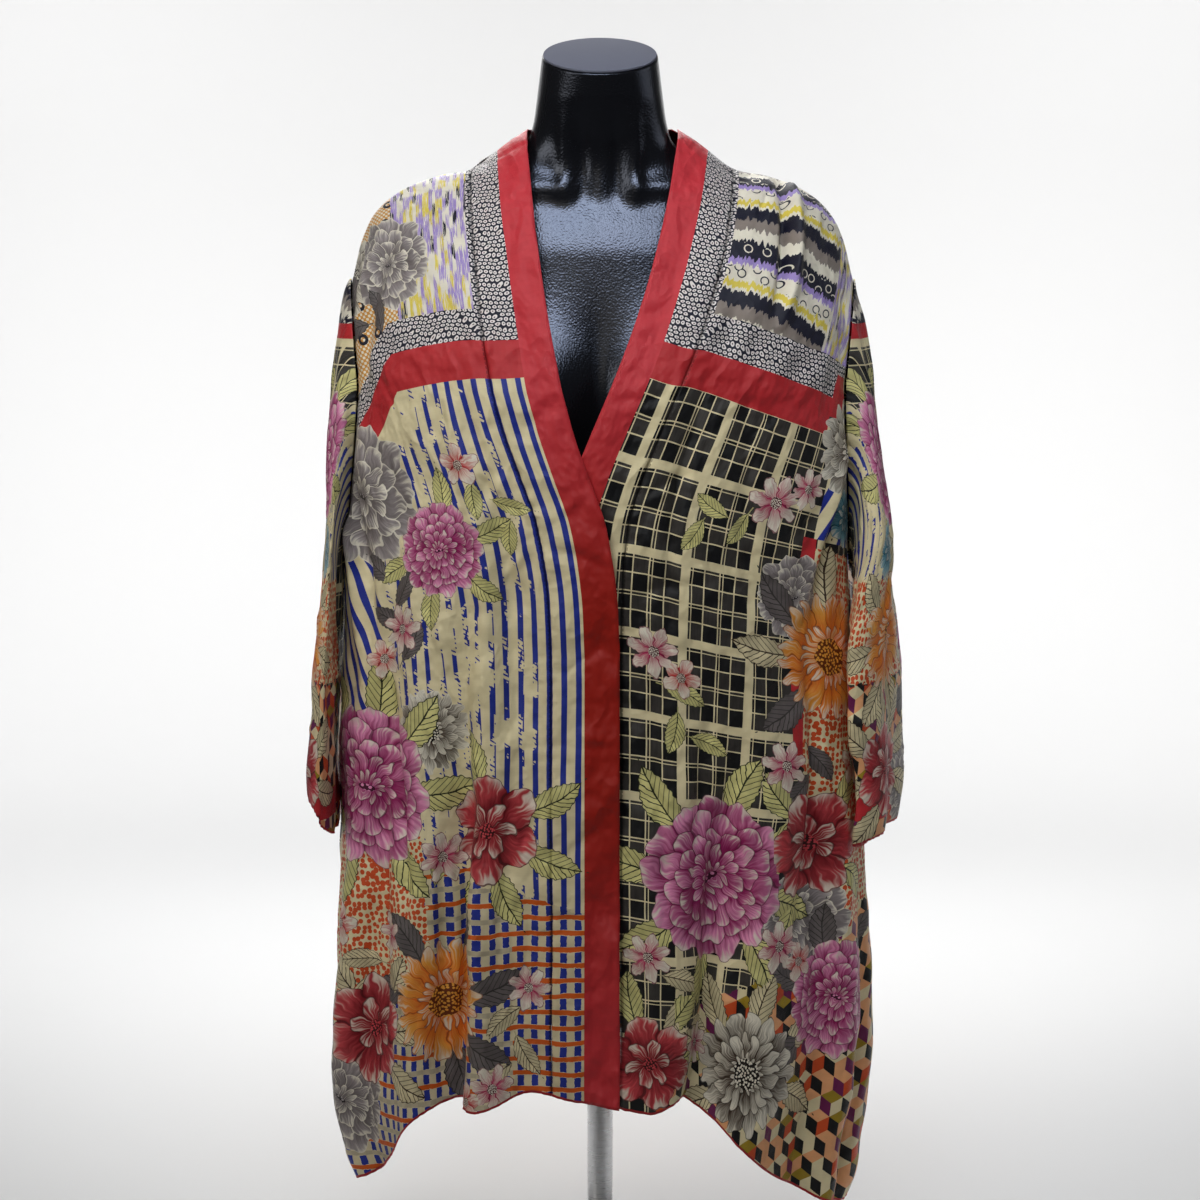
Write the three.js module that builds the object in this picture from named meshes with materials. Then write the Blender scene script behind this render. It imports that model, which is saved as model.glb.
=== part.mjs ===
// Kimono cardigan of thin printed silk, worn by a limbless dress form on a plain stand.
// Millimetres, +Z up, the front faces -Y. "Right" and "left" are the wearer's, so right is at -X.
// The origin is the middle of the stand's underside.

import * as THREE from "three";

// ---- driving sizes ----
const clothThickness = 1.6;
const seamGap = 0.3; // clear space between two pieces that are sewn together
const bandWidth = 63; // front and neck bands, measured level across the body
const underlap = 5; // how far the left front lies behind the right one at the centre
const chestLevel = 880; // the yoke is draped above it, the body hangs below it
const capShare = 0.27; // share of a panel's rows that lie above the chest level
const roundness = 2.3; // power of the oval level sections
const yokeSlope = 0.3; // 0 is a round shoulder, 1 is a straight slope to the chest
const shoulderY = 8;
const neckSide = 68; // X of the neck opening on the shoulder line
const bandFoot = 121; // X where the band's seam crosses the shoulder line
const shoulderEnd = 234; // X of the dropped shoulder, where the sleeve is sewn on
const slip = 5; // the garment has slipped this far towards the wearer's left shoulder
const edgeBow = { right: 4, left: 9 }; // how far each front edge bows out between shoulder and chest
const neckBack = { y: 70, z: 1121 }; // middle of the back neckline
const underarmLevel = 705;
const armholeSpread = 15; // degrees that the armhole gapes to each side of the side line

const degrees = Math.PI / 180;
const mix = (a, b, t) => a + (b - a) * t;
const clamp01 = (t) => Math.min(1, Math.max(0, t));
const easeBetween = (low, high, x) => {
  const t = clamp01((x - low) / (high - low));
  return t * t * (3 - 2 * t);
};

// A smooth curve through one column of a table, whose rows run up in `key`.
function lookUp(rows, key, column, at) {
  const last = rows.length - 1;
  if (at <= rows[0][key]) return rows[0][column];
  if (at >= rows[last][key]) return rows[last][column];
  const i = rows.findIndex((row) => row[key] > at) - 1;
  const slope = (k) => {
    const a = rows[Math.max(0, k - 1)];
    const b = rows[Math.min(last, k + 1)];
    return (b[column] - a[column]) / (b[key] - a[key]);
  };
  const [a, b] = [rows[i], rows[i + 1]];
  const step = b[key] - a[key];
  const t = (at - a[key]) / step;
  const rise = b[column] - a[column];
  const lead = step * slope(i) - rise;
  const tail = -step * slope(i + 1) + rise;
  return mix(a[column], b[column], t) + t * (1 - t) * mix(lead, tail, t);
}

// ---- the body of the garment, as level sections below the chest ----
const bodySections = [
  { z: 60, right: 214, left: 226, front: 128, back: 122 },
  { z: 105, right: 230, left: 246, front: 131, back: 125 },
  { z: 150, right: 250, left: 252, front: 134, back: 127 },
  { z: 215, right: 259, left: 265, front: 136, back: 128 },
  { z: 290, right: 257, left: 266, front: 135, back: 127 },
  { z: 370, right: 255, left: 259, front: 134, back: 127 },
  { z: 450, right: 250, left: 255, front: 134, back: 127 },
  { z: 560, right: 250, left: 246, front: 136, back: 125 },
  { z: 690, right: 243, left: 237, front: 140, back: 118 },
  { z: 790, right: 237, left: 236, front: 144, back: 114 },
  { z: 880, right: 232, left: 235, front: 141, back: 112 },
];

const shoulderLine = [
  { x: 68, z: 1118 },
  { x: 95, z: 1099 },
  { x: 121, z: 1081 },
  { x: 150, z: 1075 },
  { x: 185, z: 1062 },
  { x: 210, z: 1042 },
  { x: 225, z: 1014 },
  { x: 234, z: 978 },
];

// Height of the cut hem round the body. 0 is the centre front, 90 the left side, 180 the back.
const hemLine = [
  { angle: -180, z: 212 },
  { angle: -125, z: 196 },
  { angle: -108, z: 168 },
  { angle: -97, z: 134 },
  { angle: -86, z: 112 },
  { angle: -72, z: 116 },
  { angle: -60, z: 128 },
  { angle: -50, z: 150 },
  { angle: -38, z: 197 },
  { angle: -31, z: 211 },
  { angle: -23, z: 207 },
  { angle: -12, z: 225 },
  { angle: -3, z: 216 },
  { angle: 8, z: 206 },
  { angle: 16, z: 216 },
  { angle: 28, z: 166 },
  { angle: 40, z: 131 },
  { angle: 54, z: 106 },
  { angle: 70, z: 90 },
  { angle: 84, z: 86 },
  { angle: 95, z: 112 },
  { angle: 108, z: 158 },
  { angle: 125, z: 192 },
  { angle: 180, z: 212 },
];

// The free edge of each front, from the chest down.
const rightEdge = [
  { z: 640, x: 18 },
  { z: 700, x: 15 },
  { z: 760, x: 5 },
  { z: 800, x: -9 },
  { z: 840, x: -23 },
  { z: 880, x: -34 },
];
const leftEdge = [
  { z: 640, x: -44 },
  { z: 700, x: -43 },
  { z: 760, x: -37 },
  { z: 800, x: -25 },
  { z: 840, x: -9 },
  { z: 880, x: 8 },
];

// Hanging folds: each runs from its top, where it has no depth, down to the hem. The angles are as
// in the hem line, the width is in degrees, the depth in mm outwards, and lean pushes it sideways.
const folds = [
  { top: 800, full: 420, angleTop: -27, angleHem: -31, width: 3.6, depth: -24, lean: 7 },
  { top: 780, full: 330, angleTop: -21, angleHem: -22, width: 7, depth: 12, lean: 0 },
  { top: 720, full: 260, angleTop: -38, angleHem: -42, width: 7, depth: 13, lean: 0 },
  { top: 860, full: 600, angleTop: -46, angleHem: -58, width: 5, depth: -10, lean: -3 },
  { top: 640, full: 230, angleTop: -66, angleHem: -68, width: 7, depth: 15, lean: 0 },
  { top: 560, full: 200, angleTop: -80, angleHem: -79, width: 4.5, depth: -12, lean: 0 },
  { top: 900, full: 690, angleTop: -17, angleHem: -13, width: 5, depth: -6, lean: 0 },
  { top: 640, full: 300, angleTop: 30, angleHem: 16, width: 3.6, depth: -24, lean: -7 },
  { top: 600, full: 260, angleTop: 10, angleHem: 8, width: 5, depth: 7, lean: 0 },
  { top: 700, full: 260, angleTop: 36, angleHem: 28, width: 8, depth: 15, lean: 0 },
  { top: 760, full: 330, angleTop: 55, angleHem: 46, width: 5, depth: -11, lean: 3 },
  { top: 560, full: 220, angleTop: 64, angleHem: 58, width: 6, depth: 11, lean: 0 },
  { top: 480, full: 180, angleTop: 75, angleHem: 72, width: 4, depth: -13, lean: 0 },
  { top: 820, full: 560, angleTop: 22, angleHem: 24, width: 6, depth: -6, lean: 0 },
  { top: 820, full: 340, angleTop: 112, angleHem: 106, width: 6, depth: -14, lean: 0 },
  { top: 760, full: 260, angleTop: 124, angleHem: 122, width: 8, depth: 15, lean: 0 },
  { top: 860, full: 380, angleTop: 140, angleHem: 137, width: 5, depth: -17, lean: 4 },
  { top: 700, full: 250, angleTop: 156, angleHem: 153, width: 8, depth: 11, lean: 0 },
  { top: 880, full: 420, angleTop: 170, angleHem: 172, width: 5, depth: -13, lean: 0 },
  { top: 680, full: 240, angleTop: -166, angleHem: -170, width: 8, depth: 12, lean: 0 },
  { top: 870, full: 360, angleTop: -147, angleHem: -152, width: 5, depth: -17, lean: -4 },
  { top: 740, full: 260, angleTop: -131, angleHem: -135, width: 8, depth: 14, lean: 0 },
  { top: 800, full: 300, angleTop: -114, angleHem: -116, width: 5, depth: -15, lean: 0 },
];

// Share of an angle's turn away from a fold's line, as a soft bell.
function bell(angle, centre, width) {
  const turn = ((angle - centre + 540) % 360) - 180;
  return Math.exp(-((turn / width) ** 2));
}

// A point of the outer cloth below the chest.
function bodyPoint(angle, z) {
  const s = Math.sin(angle * degrees);
  const c = Math.cos(angle * degrees);
  const halfWidth = lookUp(bodySections, "z", s < 0 ? "right" : "left", z);
  const halfDepth = lookUp(bodySections, "z", c > 0 ? "front" : "back", z);
  const power = 2 / roundness;
  const x = halfWidth * Math.sign(s) * Math.abs(s) ** power;
  const y = -halfDepth * Math.sign(c) * Math.abs(c) ** power;
  const outward = new THREE.Vector2(x / halfWidth ** 2, y / halfDepth ** 2).normalize();
  let out = 0;
  let along = 0;
  for (const fold of folds) {
    const grown = 1 - easeBetween(fold.full, fold.top, z);
    const centre = mix(fold.angleHem, fold.angleTop, clamp01((z - 150) / (fold.top - 150)));
    const share = grown * bell(angle, centre, fold.width);
    out += share * fold.depth;
    along += share * fold.lean;
  }
  return new THREE.Vector3(x + outward.x * out - outward.y * along, y + outward.y * out + outward.x * along, z);
}

// The angle at which a level section has a given X on the front.
function angleAt(x, z) {
  const halfWidth = lookUp(bodySections, "z", x < 0 ? "right" : "left", z);
  return Math.sign(x) * Math.asin(clamp01(Math.abs(x) / halfWidth) ** (roundness / 2)) / degrees;
}

// How far the armhole's edge stands off the side line, in degrees, at a level.
function armholeGape(z) {
  const t = clamp01((z - underarmLevel) / (chestLevel - underarmLevel));
  return armholeSpread * Math.sin(t * 90 * degrees) ** 0.8;
}

function shoulderPoint(side, x) {
  const moved = side > 0 ? slip : 0;
  return new THREE.Vector3(side * x + moved, shoulderY, lookUp(shoulderLine, "x", "z", x));
}

// The yoke's cloth between a point on the shoulder or neck and the point below it at chest level.
function yokePoint(top, base, share) {
  const rise = Math.sin(share * 90 * degrees);
  const fall = 1 - Math.cos(share * 90 * degrees);
  return new THREE.Vector3(
    mix(top.x, base.x, fall),
    mix(top.y, base.y, mix(rise, fall, yokeSlope)),
    mix(top.z, base.z, fall),
  );
}

// ---- fronts and front bands ----
// Each line that bounds a piece gives its X on the shoulder and its angle at a level.
const sideOf = { right: -1, left: 1 };
const edgeOf = { right: rightEdge, left: leftEdge };

const shoulderFoot = (inset) => neckSide + inset * (bandFoot - neckSide) / bandWidth;

function frontLine(wearer, inset) {
  const side = sideOf[wearer];
  const across = (z) => lookUp(edgeOf[wearer], "z", "x", z) + side * inset;
  return {
    shoulder: shoulderFoot(inset),
    bow: side * edgeBow[wearer],
    angle: (z) => angleAt(across(z), z),
  };
}

function sideLine(wearer) {
  const gap = seamGap / 2 / 120 / degrees;
  return {
    shoulder: shoulderEnd,
    bow: 0,
    angle: (z) => sideOf[wearer] * (90 - armholeGape(z) - gap),
  };
}

// The left front goes behind the right front at the centre.
function layer(wearer, point) {
  const behind = wearer === "left" ? 1 - easeBetween(22, 70, point.x) : 0;
  const level = 1 - easeBetween(800, 980, point.z);
  point.y += underlap * behind * level;
  return point;
}

// A point of a strip between two lines: across runs from one to the other, down from shoulder to hem.
function frontPoint(wearer, from, to, across, down) {
  const side = sideOf[wearer];
  const ground = (z) => mix(from.angle(z), to.angle(z), across);
  if (down < capShare) {
    const top = shoulderPoint(side, mix(from.shoulder, to.shoulder, across));
    top.y -= seamGap / 2;
    const point = yokePoint(top, bodyPoint(ground(chestLevel), chestLevel), down / capShare);
    const fall = 1 - Math.cos((down / capShare) * 90 * degrees);
    point.x += mix(from.bow, to.bow, across) * 4 * fall * (1 - fall);
    return layer(wearer, point);
  }
  const hem = lookUp(hemLine, "angle", "z", ground(150));
  const z = mix(chestLevel, hem, (down - capShare) / (1 - capShare));
  return layer(wearer, bodyPoint(ground(z), z));
}

// ---- back ----
// The top of the back: round the neck in the middle, along the shoulder outside it.
// inset is 0 on the neck opening and bandWidth where the band is sewn to the panel.
function backTop(across, inset) {
  const side = Math.sign(across) || 1;
  const foot = shoulderFoot(inset);
  const neckShare = foot / shoulderEnd;
  const out = Math.abs(across);
  if (out > neckShare) {
    const top = shoulderPoint(side, mix(foot, shoulderEnd, (out - neckShare) / (1 - neckShare)));
    top.y += seamGap / 2;
    return top;
  }
  const turn = (out / neckShare) * 90 * degrees;
  const end = shoulderPoint(side, foot);
  const reach = neckBack.y + inset * 0.42 - shoulderY;
  const drop = neckBack.z - inset * 0.86;
  return new THREE.Vector3(
    side * foot * Math.sin(turn),
    shoulderY + seamGap / 2 + reach * Math.cos(turn),
    mix(drop, end.z, Math.sin(turn) ** 2),
  );
}

function backPoint(across, down, inset) {
  const gap = seamGap / 2 / 120 / degrees;
  const ground = (z) => 180 - across * (90 - armholeGape(z) - gap);
  const wrap = (angle) => (angle > 180 ? angle - 360 : angle);
  if (down < capShare) {
    const base = bodyPoint(wrap(ground(chestLevel)), chestLevel);
    return yokePoint(backTop(across, inset), base, down / capShare);
  }
  const hem = lookUp(hemLine, "angle", "z", wrap(ground(150)));
  const z = mix(chestLevel, hem, (down - capShare) / (1 - capShare));
  return bodyPoint(wrap(ground(z)), z);
}

// The neck band lies on the top of the back, between the neck opening and the panel's top.
function neckBandPoint(across, down) {
  const width = bandWidth - 2 * seamGap;
  const inner = backTop(across * neckSide / shoulderEnd, 0);
  const outer = backTop(across * shoulderFoot(width) / shoulderEnd, width);
  const crown = 5 * Math.sin(down * 180 * degrees) * Math.cos(across * 90 * degrees);
  return inner.lerp(outer, down).add(new THREE.Vector3(0, 0.5 * crown, crown));
}

// ---- sleeves ----
// Level sections of a hanging sleeve: its nearest and furthest X from the middle, front and back.
const sleeveSections = {
  right: [
    { z: 430, inner: 255, outer: 277, front: 88, back: 92 },
    { z: 487, inner: 254, outer: 281, front: 92, back: 97 },
    { z: 520, inner: 254, outer: 279, front: 94, back: 100 },
    { z: 575, inner: 254, outer: 271, front: 95, back: 102 },
    { z: 650, inner: 250, outer: 266, front: 92, back: 103 },
    { z: 760, inner: 243, outer: 260, front: 80, back: 96 },
    { z: 870, inner: 234, outer: 254, front: 58, back: 76 },
    { z: 950, inner: 228, outer: 246, front: 34, back: 48 },
    { z: 985, inner: 226, outer: 237, front: 20, back: 34 },
  ],
  left: [
    { z: 430, inner: 262, outer: 286, front: 88, back: 92 },
    { z: 487, inner: 260, outer: 291, front: 92, back: 97 },
    { z: 520, inner: 258, outer: 290, front: 94, back: 100 },
    { z: 575, inner: 252, outer: 287, front: 95, back: 102 },
    { z: 650, inner: 246, outer: 283, front: 92, back: 103 },
    { z: 760, inner: 242, outer: 274, front: 80, back: 96 },
    { z: 870, inner: 236, outer: 260, front: 58, back: 76 },
    { z: 950, inner: 231, outer: 249, front: 34, back: 48 },
    { z: 985, inner: 229, outer: 239, front: 20, back: 34 },
  ],
};
// A cuff's level at its middle, and how much higher its outer side is than that.
const cuffs = { right: { level: 457, tilt: 26 }, left: { level: 452, tilt: 15 } };
const sleeveY = 6;

// Folds down a sleeve. Turn 0 is its outer side, negative turns face front.
const sleeveFolds = [
  { turn: -58, width: 13, depth: 5, from: 0.2, to: 1 },
  { turn: -30, width: 11, depth: -6, from: 0.15, to: 1 },
  { turn: 6, width: 14, depth: 5, from: 0.3, to: 1 },
  { turn: 38, width: 11, depth: -6, from: 0.2, to: 1 },
  { turn: 66, width: 12, depth: 4, from: 0.35, to: 1 },
];

// The seam on the body that the sleeve is sewn to: 0 is the shoulder end, -1 and 1 the underarm.
function armholePoint(wearer, round) {
  const side = sideOf[wearer];
  const reach = Math.abs(round);
  const capPart = 0.3;
  const faceBack = round > 0;
  const base = side * (faceBack ? 90 + armholeGape(chestLevel) : 90 - armholeGape(chestLevel));
  if (reach < capPart) {
    const top = shoulderPoint(side, shoulderEnd);
    return yokePoint(top, bodyPoint(base, chestLevel), reach / capPart);
  }
  const z = mix(chestLevel, underarmLevel, (reach - capPart) / (1 - capPart));
  const gape = armholeGape(z);
  return bodyPoint(side * (faceBack ? 90 + gape : 90 - gape), z);
}

function sleevePoint(wearer, round, down) {
  const side = sideOf[wearer];
  const seam = armholePoint(wearer, round);
  const turn = round * 180 * degrees;
  const cuff = cuffs[wearer].level + cuffs[wearer].tilt * Math.cos(turn);
  const z = mix(seam.z, cuff, down);
  const at = (column) => lookUp(sleeveSections[wearer], "z", column, z);
  const middle = (at("inner") + at("outer")) / 2;
  const half = (at("outer") - at("inner")) / 2;
  const reach = at(round < 0 ? "front" : "back");
  let crease = 0;
  for (const fold of sleeveFolds) {
    const grown = easeBetween(fold.from, 0.5 * (fold.from + fold.to), down);
    crease += fold.depth * grown * bell(round * 180, fold.turn, fold.width);
  }
  const flat = Math.sign(Math.cos(turn)) * Math.abs(Math.cos(turn)) ** 0.62;
  const tube = new THREE.Vector3(
    side * (middle + (half + crease) * flat),
    sleeveY + reach * Math.sin(turn),
    z,
  );
  const start = seam.clone().add(new THREE.Vector3(side * mix(1.4, 2.4, Math.abs(round)), 0, 0));
  const away = 1 - (1 - clamp01(down / 0.3)) ** 3;
  return start.lerp(tube, away);
}

// ---- walls ----
// A wall of cloth over a surface: its outer face is the surface, its inner face lies one thickness in.
// steps are the numbers of strips across and down. joined closes the wall into a tube. upright lists
// the edges that are cut square to the shoulder seam's plane, so that the next piece fits there.
function clothWall(surface, steps, { joined = false, upright = [] } = {}) {
  const small = 1e-3;
  const points = [];
  const inwards = [];
  for (let j = 0; j <= steps.down; j++) {
    for (let i = 0; i <= steps.across; i++) {
      const a = i / steps.across;
      const d = j / steps.down;
      const [a0, a1] = [Math.max(0, a - small), Math.min(1, a + small)];
      const [d0, d1] = [Math.max(0, d - small), Math.min(1, d + small)];
      const alongA = surface(a1, d).sub(surface(a0, d));
      const alongD = surface(a, d1).sub(surface(a, d0));
      points.push(surface(a, d));
      inwards.push(alongA.cross(alongD).normalize());
    }
  }
  const row = steps.across + 1;
  if (joined) {
    for (let j = 0; j <= steps.down; j++) {
      const [first, last] = [j * row, j * row + steps.across];
      inwards[first].add(inwards[last]).normalize();
      inwards[last].copy(inwards[first]);
      points[last].copy(points[first]);
    }
  }
  const cutUpright = (k) => inwards[k].setY(0).normalize();
  for (let i = 0; i <= steps.across; i++) {
    if (upright.includes("top") && Math.abs(points[i].y - shoulderY) < 1) cutUpright(i);
  }
  for (let j = 0; upright.includes("ends") && j <= steps.down; j++) {
    cutUpright(j * row);
    cutUpright(j * row + steps.across);
  }
  const inner = points.map((p, k) => p.clone().addScaledVector(inwards[k], clothThickness));
  const corners = [];
  const quad = (a, b, c, d) => corners.push(a, b, c, a, c, d);
  for (let j = 0; j < steps.down; j++) {
    for (let i = 0; i < steps.across; i++) {
      const k = j * row + i;
      quad(points[k], points[k + row], points[k + row + 1], points[k + 1]);
      quad(inner[k], inner[k + 1], inner[k + row + 1], inner[k + row]);
    }
  }
  for (let i = 0; i < steps.across; i++) {
    const foot = steps.down * row + i;
    quad(points[i], points[i + 1], inner[i + 1], inner[i]);
    quad(points[foot + 1], points[foot], inner[foot], inner[foot + 1]);
  }
  for (let j = 0; !joined && j < steps.down; j++) {
    const near = j * row;
    const far = near + steps.across;
    quad(points[near + row], points[near], inner[near], inner[near + row]);
    quad(points[far], points[far + row], inner[far + row], inner[far]);
  }
  return new THREE.BufferGeometry().setFromPoints(corners);
}

// ---- the dress form ----
// Level sections. lift moves the section forwards or back, bust is the share of the bust's swell.
const formSections = [
  { z: 330, half: 150, front: 84, back: 92 },
  { z: 420, half: 172, front: 92, back: 108 },
  { z: 500, half: 178, front: 94, back: 112 },
  { z: 590, half: 160, front: 88, back: 92 },
  { z: 680, half: 128, front: 84, back: 76 },
  { z: 770, half: 138, front: 88, back: 82 },
  { z: 860, half: 154, front: 92, back: 90 },
  { z: 940, half: 176, front: 84, back: 84 },
  { z: 1000, half: 190, front: 68, back: 72 },
  { z: 1025, half: 188, front: 60, back: 62 },
  { z: 1048, half: 170, front: 52, back: 56 },
  { z: 1064, half: 146, front: 46, back: 50 },
  { z: 1078, half: 112, front: 42, back: 46 },
  { z: 1090, half: 88, front: 42, back: 46 },
  { z: 1104, half: 70, front: 44, back: 45 },
  { z: 1120, half: 63, front: 48, back: 45 },
  { z: 1145, half: 59, front: 53, back: 47 },
];
const neckTop = { half: 54, depth: 54, y: -4, z: 1184, tilt: 20 };
const bust = { x: 80, z: 862, width: 66, height: 66, swell: 45 };
const neckCapThickness = 2.5;
const formSides = 36;

function formRing(section) {
  return Array.from({ length: formSides }, (_, k) => {
    const turn = (k / formSides) * 360 * degrees;
    const [s, c] = [Math.sin(turn), Math.cos(turn)];
    const x = section.half * Math.sign(s) * Math.abs(s) ** 0.92;
    const depth = c > 0 ? section.front : section.back;
    const near = (side) => Math.exp(-(((x - side * bust.x) / bust.width) ** 2));
    const level = Math.exp(-(((section.z - bust.z) / bust.height) ** 2));
    const swell = c > 0 ? bust.swell * c * level * Math.max(near(-1), near(1)) : 0;
    return new THREE.Vector3(x, -depth * Math.sign(c) * Math.abs(c) ** 0.92 - swell, section.z);
  });
}

// The neck is cut off on a slant that faces forward. raise goes square to that cut, inset inwards.
function neckTopRing(raise, inset) {
  return Array.from({ length: formSides }, (_, k) => {
    const turn = (k / formSides) * 360 * degrees;
    const back = -(neckTop.depth - inset) * Math.cos(turn);
    const [s, c] = [Math.sin(neckTop.tilt * degrees), Math.cos(neckTop.tilt * degrees)];
    return new THREE.Vector3(
      (neckTop.half - inset) * Math.sin(turn),
      neckTop.y + back * c - raise * s,
      neckTop.z + back * s + raise * c,
    );
  });
}

// A closed solid through rings of equal length, from the lowest to the highest.
function ringSolid(rings) {
  const corners = [];
  const centre = (ring) => ring.reduce((sum, p) => sum.add(p), new THREE.Vector3()).divideScalar(ring.length);
  const [low, high] = [rings[0], rings[rings.length - 1]];
  for (let k = 0; k < low.length; k++) {
    const next = (k + 1) % low.length;
    corners.push(centre(low), low[next], low[k]);
    corners.push(centre(high), high[k], high[next]);
    for (let r = 0; r + 1 < rings.length; r++) {
      const [a, b] = [rings[r], rings[r + 1]];
      corners.push(a[k], a[next], b[next], a[k], b[next], b[k]);
    }
  }
  return new THREE.BufferGeometry().setFromPoints(corners);
}

function formSolid() {
  const levels = [];
  for (let z = 330; z < 1000; z += 30) levels.push(z);
  for (let z = 1000; z < 1152; z += 12) levels.push(z);
  const rings = levels.map((z) => {
    const at = (column) => lookUp(formSections, "z", column, z);
    return formRing({ z, half: at("half"), front: at("front"), back: at("back") });
  });
  rings.push(neckTopRing(0, 0));
  return ringSolid(rings);
}

// ---- the stand ----
const base = { radius: 160, height: 8, edge: 2 };
const socket = { radius: 22, height: 26 };
const pole = { radius: 12.5 };
const formFoot = 330;
const touch = 0.3; // clear space between hard pieces that touch

// A turned piece about the upright axis, from its profile of [radius, height] points.
function turned(profile, sides) {
  const points = profile.map(([radius, height]) => new THREE.Vector2(radius, height));
  return new THREE.LatheGeometry(points, sides).rotateX(90 * degrees);
}

const basePlate = turned(
  [
    [0, 0],
    [base.radius, 0],
    [base.radius, base.height - base.edge],
    [base.radius - base.edge, base.height],
    [0, base.height],
  ],
  48,
);

const socketFoot = base.height + touch;
const poleSocket = turned(
  [
    [pole.radius + touch, socketFoot],
    [socket.radius, socketFoot],
    [socket.radius - 4, socketFoot + socket.height],
    [pole.radius + touch, socketFoot + socket.height],
    [pole.radius + touch, socketFoot],
  ],
  32,
);

const standPole = turned(
  [
    [0, base.height + touch],
    [pole.radius, base.height + touch],
    [pole.radius, formFoot - touch],
    [0, formFoot - touch],
  ],
  24,
);

// ---- materials and the finished part ----
const finish = (color, roughness, metalness) => new THREE.MeshStandardMaterial({ color, roughness, metalness });
const silkStripe = finish(0xc9bb93, 0.45, 0);
const silkCheck = finish(0x35332f, 0.45, 0);
const silkBack = finish(0x9a8b78, 0.45, 0);
const silkSleeve = finish(0x8a4a58, 0.45, 0);
const silkRed = finish(0xb02630, 0.45, 0);
const glossBlack = finish(0x0c0c0e, 0.22, 0);
const glossGrey = finish(0x46484c, 0.3, 0);
const steel = finish(0xc9cacc, 0.25, 1);

const part = new THREE.Group();

function add(name, geometry, material) {
  const mesh = new THREE.Mesh(geometry, material);
  mesh.name = name;
  part.add(mesh);
}

for (const wearer of ["right", "left"]) {
  const edge = frontLine(wearer, 0);
  const seam = frontLine(wearer, bandWidth - seamGap);
  const panelStart = frontLine(wearer, bandWidth);
  const side = sideLine(wearer);
  // Across runs from -X to +X on both fronts, so that the faces point outwards.
  const order = (across) => (wearer === "right" ? 1 - across : across);
  const panel = (a, d) => frontPoint(wearer, panelStart, side, order(a), d);
  const band = (a, d) => frontPoint(wearer, edge, seam, order(a), d);
  const sleeve = (a, d) => sleevePoint(wearer, wearer === "right" ? 2 * a - 1 : 1 - 2 * a, d);
  const frontSilk = wearer === "right" ? silkStripe : silkCheck;
  const shoulder = { upright: ["top"] };
  add(`${wearer}_front`, clothWall(panel, { across: 15, down: 24 }, shoulder), frontSilk);
  add(`${wearer}_front_band`, clothWall(band, { across: 3, down: 24 }, shoulder), silkRed);
  add(`${wearer}_sleeve`, clothWall(sleeve, { across: 26, down: 13 }, { joined: true }), silkSleeve);
}
const back = (a, d) => backPoint(1 - 2 * a, d, bandWidth);
const neckBand = (a, d) => neckBandPoint(1 - 2 * a, d);
add("back", clothWall(back, { across: 28, down: 20 }, { upright: ["top"] }), silkBack);
add("neck_band", clothWall(neckBand, { across: 16, down: 3 }, { upright: ["ends"] }), silkRed);
add("dress_form", formSolid(), glossBlack);
add("neck_cap", ringSolid([neckTopRing(touch, 1), neckTopRing(touch + neckCapThickness, 1)]), glossGrey);
add("stand_pole", standPole, steel);
add("stand_socket", poleSocket, steel);
add("stand_base", basePlate, steel);

export default part;
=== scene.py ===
import bmesh
import bpy
import numpy as np
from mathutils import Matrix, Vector


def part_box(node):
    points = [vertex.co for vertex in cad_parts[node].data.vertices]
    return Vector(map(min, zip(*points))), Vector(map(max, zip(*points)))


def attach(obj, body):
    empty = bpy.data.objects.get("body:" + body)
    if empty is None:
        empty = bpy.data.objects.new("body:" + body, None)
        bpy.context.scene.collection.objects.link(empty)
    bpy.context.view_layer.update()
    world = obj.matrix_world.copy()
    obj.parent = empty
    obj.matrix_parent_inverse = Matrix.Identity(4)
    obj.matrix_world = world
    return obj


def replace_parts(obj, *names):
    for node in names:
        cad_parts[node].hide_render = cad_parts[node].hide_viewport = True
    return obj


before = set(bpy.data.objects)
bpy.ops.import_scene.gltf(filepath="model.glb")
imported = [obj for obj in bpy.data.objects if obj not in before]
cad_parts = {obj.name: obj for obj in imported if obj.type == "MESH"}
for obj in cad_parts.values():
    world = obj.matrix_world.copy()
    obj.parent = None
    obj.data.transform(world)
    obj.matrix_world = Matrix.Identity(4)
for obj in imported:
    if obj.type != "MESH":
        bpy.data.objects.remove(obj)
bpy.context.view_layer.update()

print("frame loaded,", len(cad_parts), "nodes")

# Sizes are in millimetres until a mesh is finished, then metres.
# x runs to the wearer's left, -y is the front, z is up.


def table(columns, *rows):
    return [dict(zip(columns.split(), row)) for row in rows]


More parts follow.
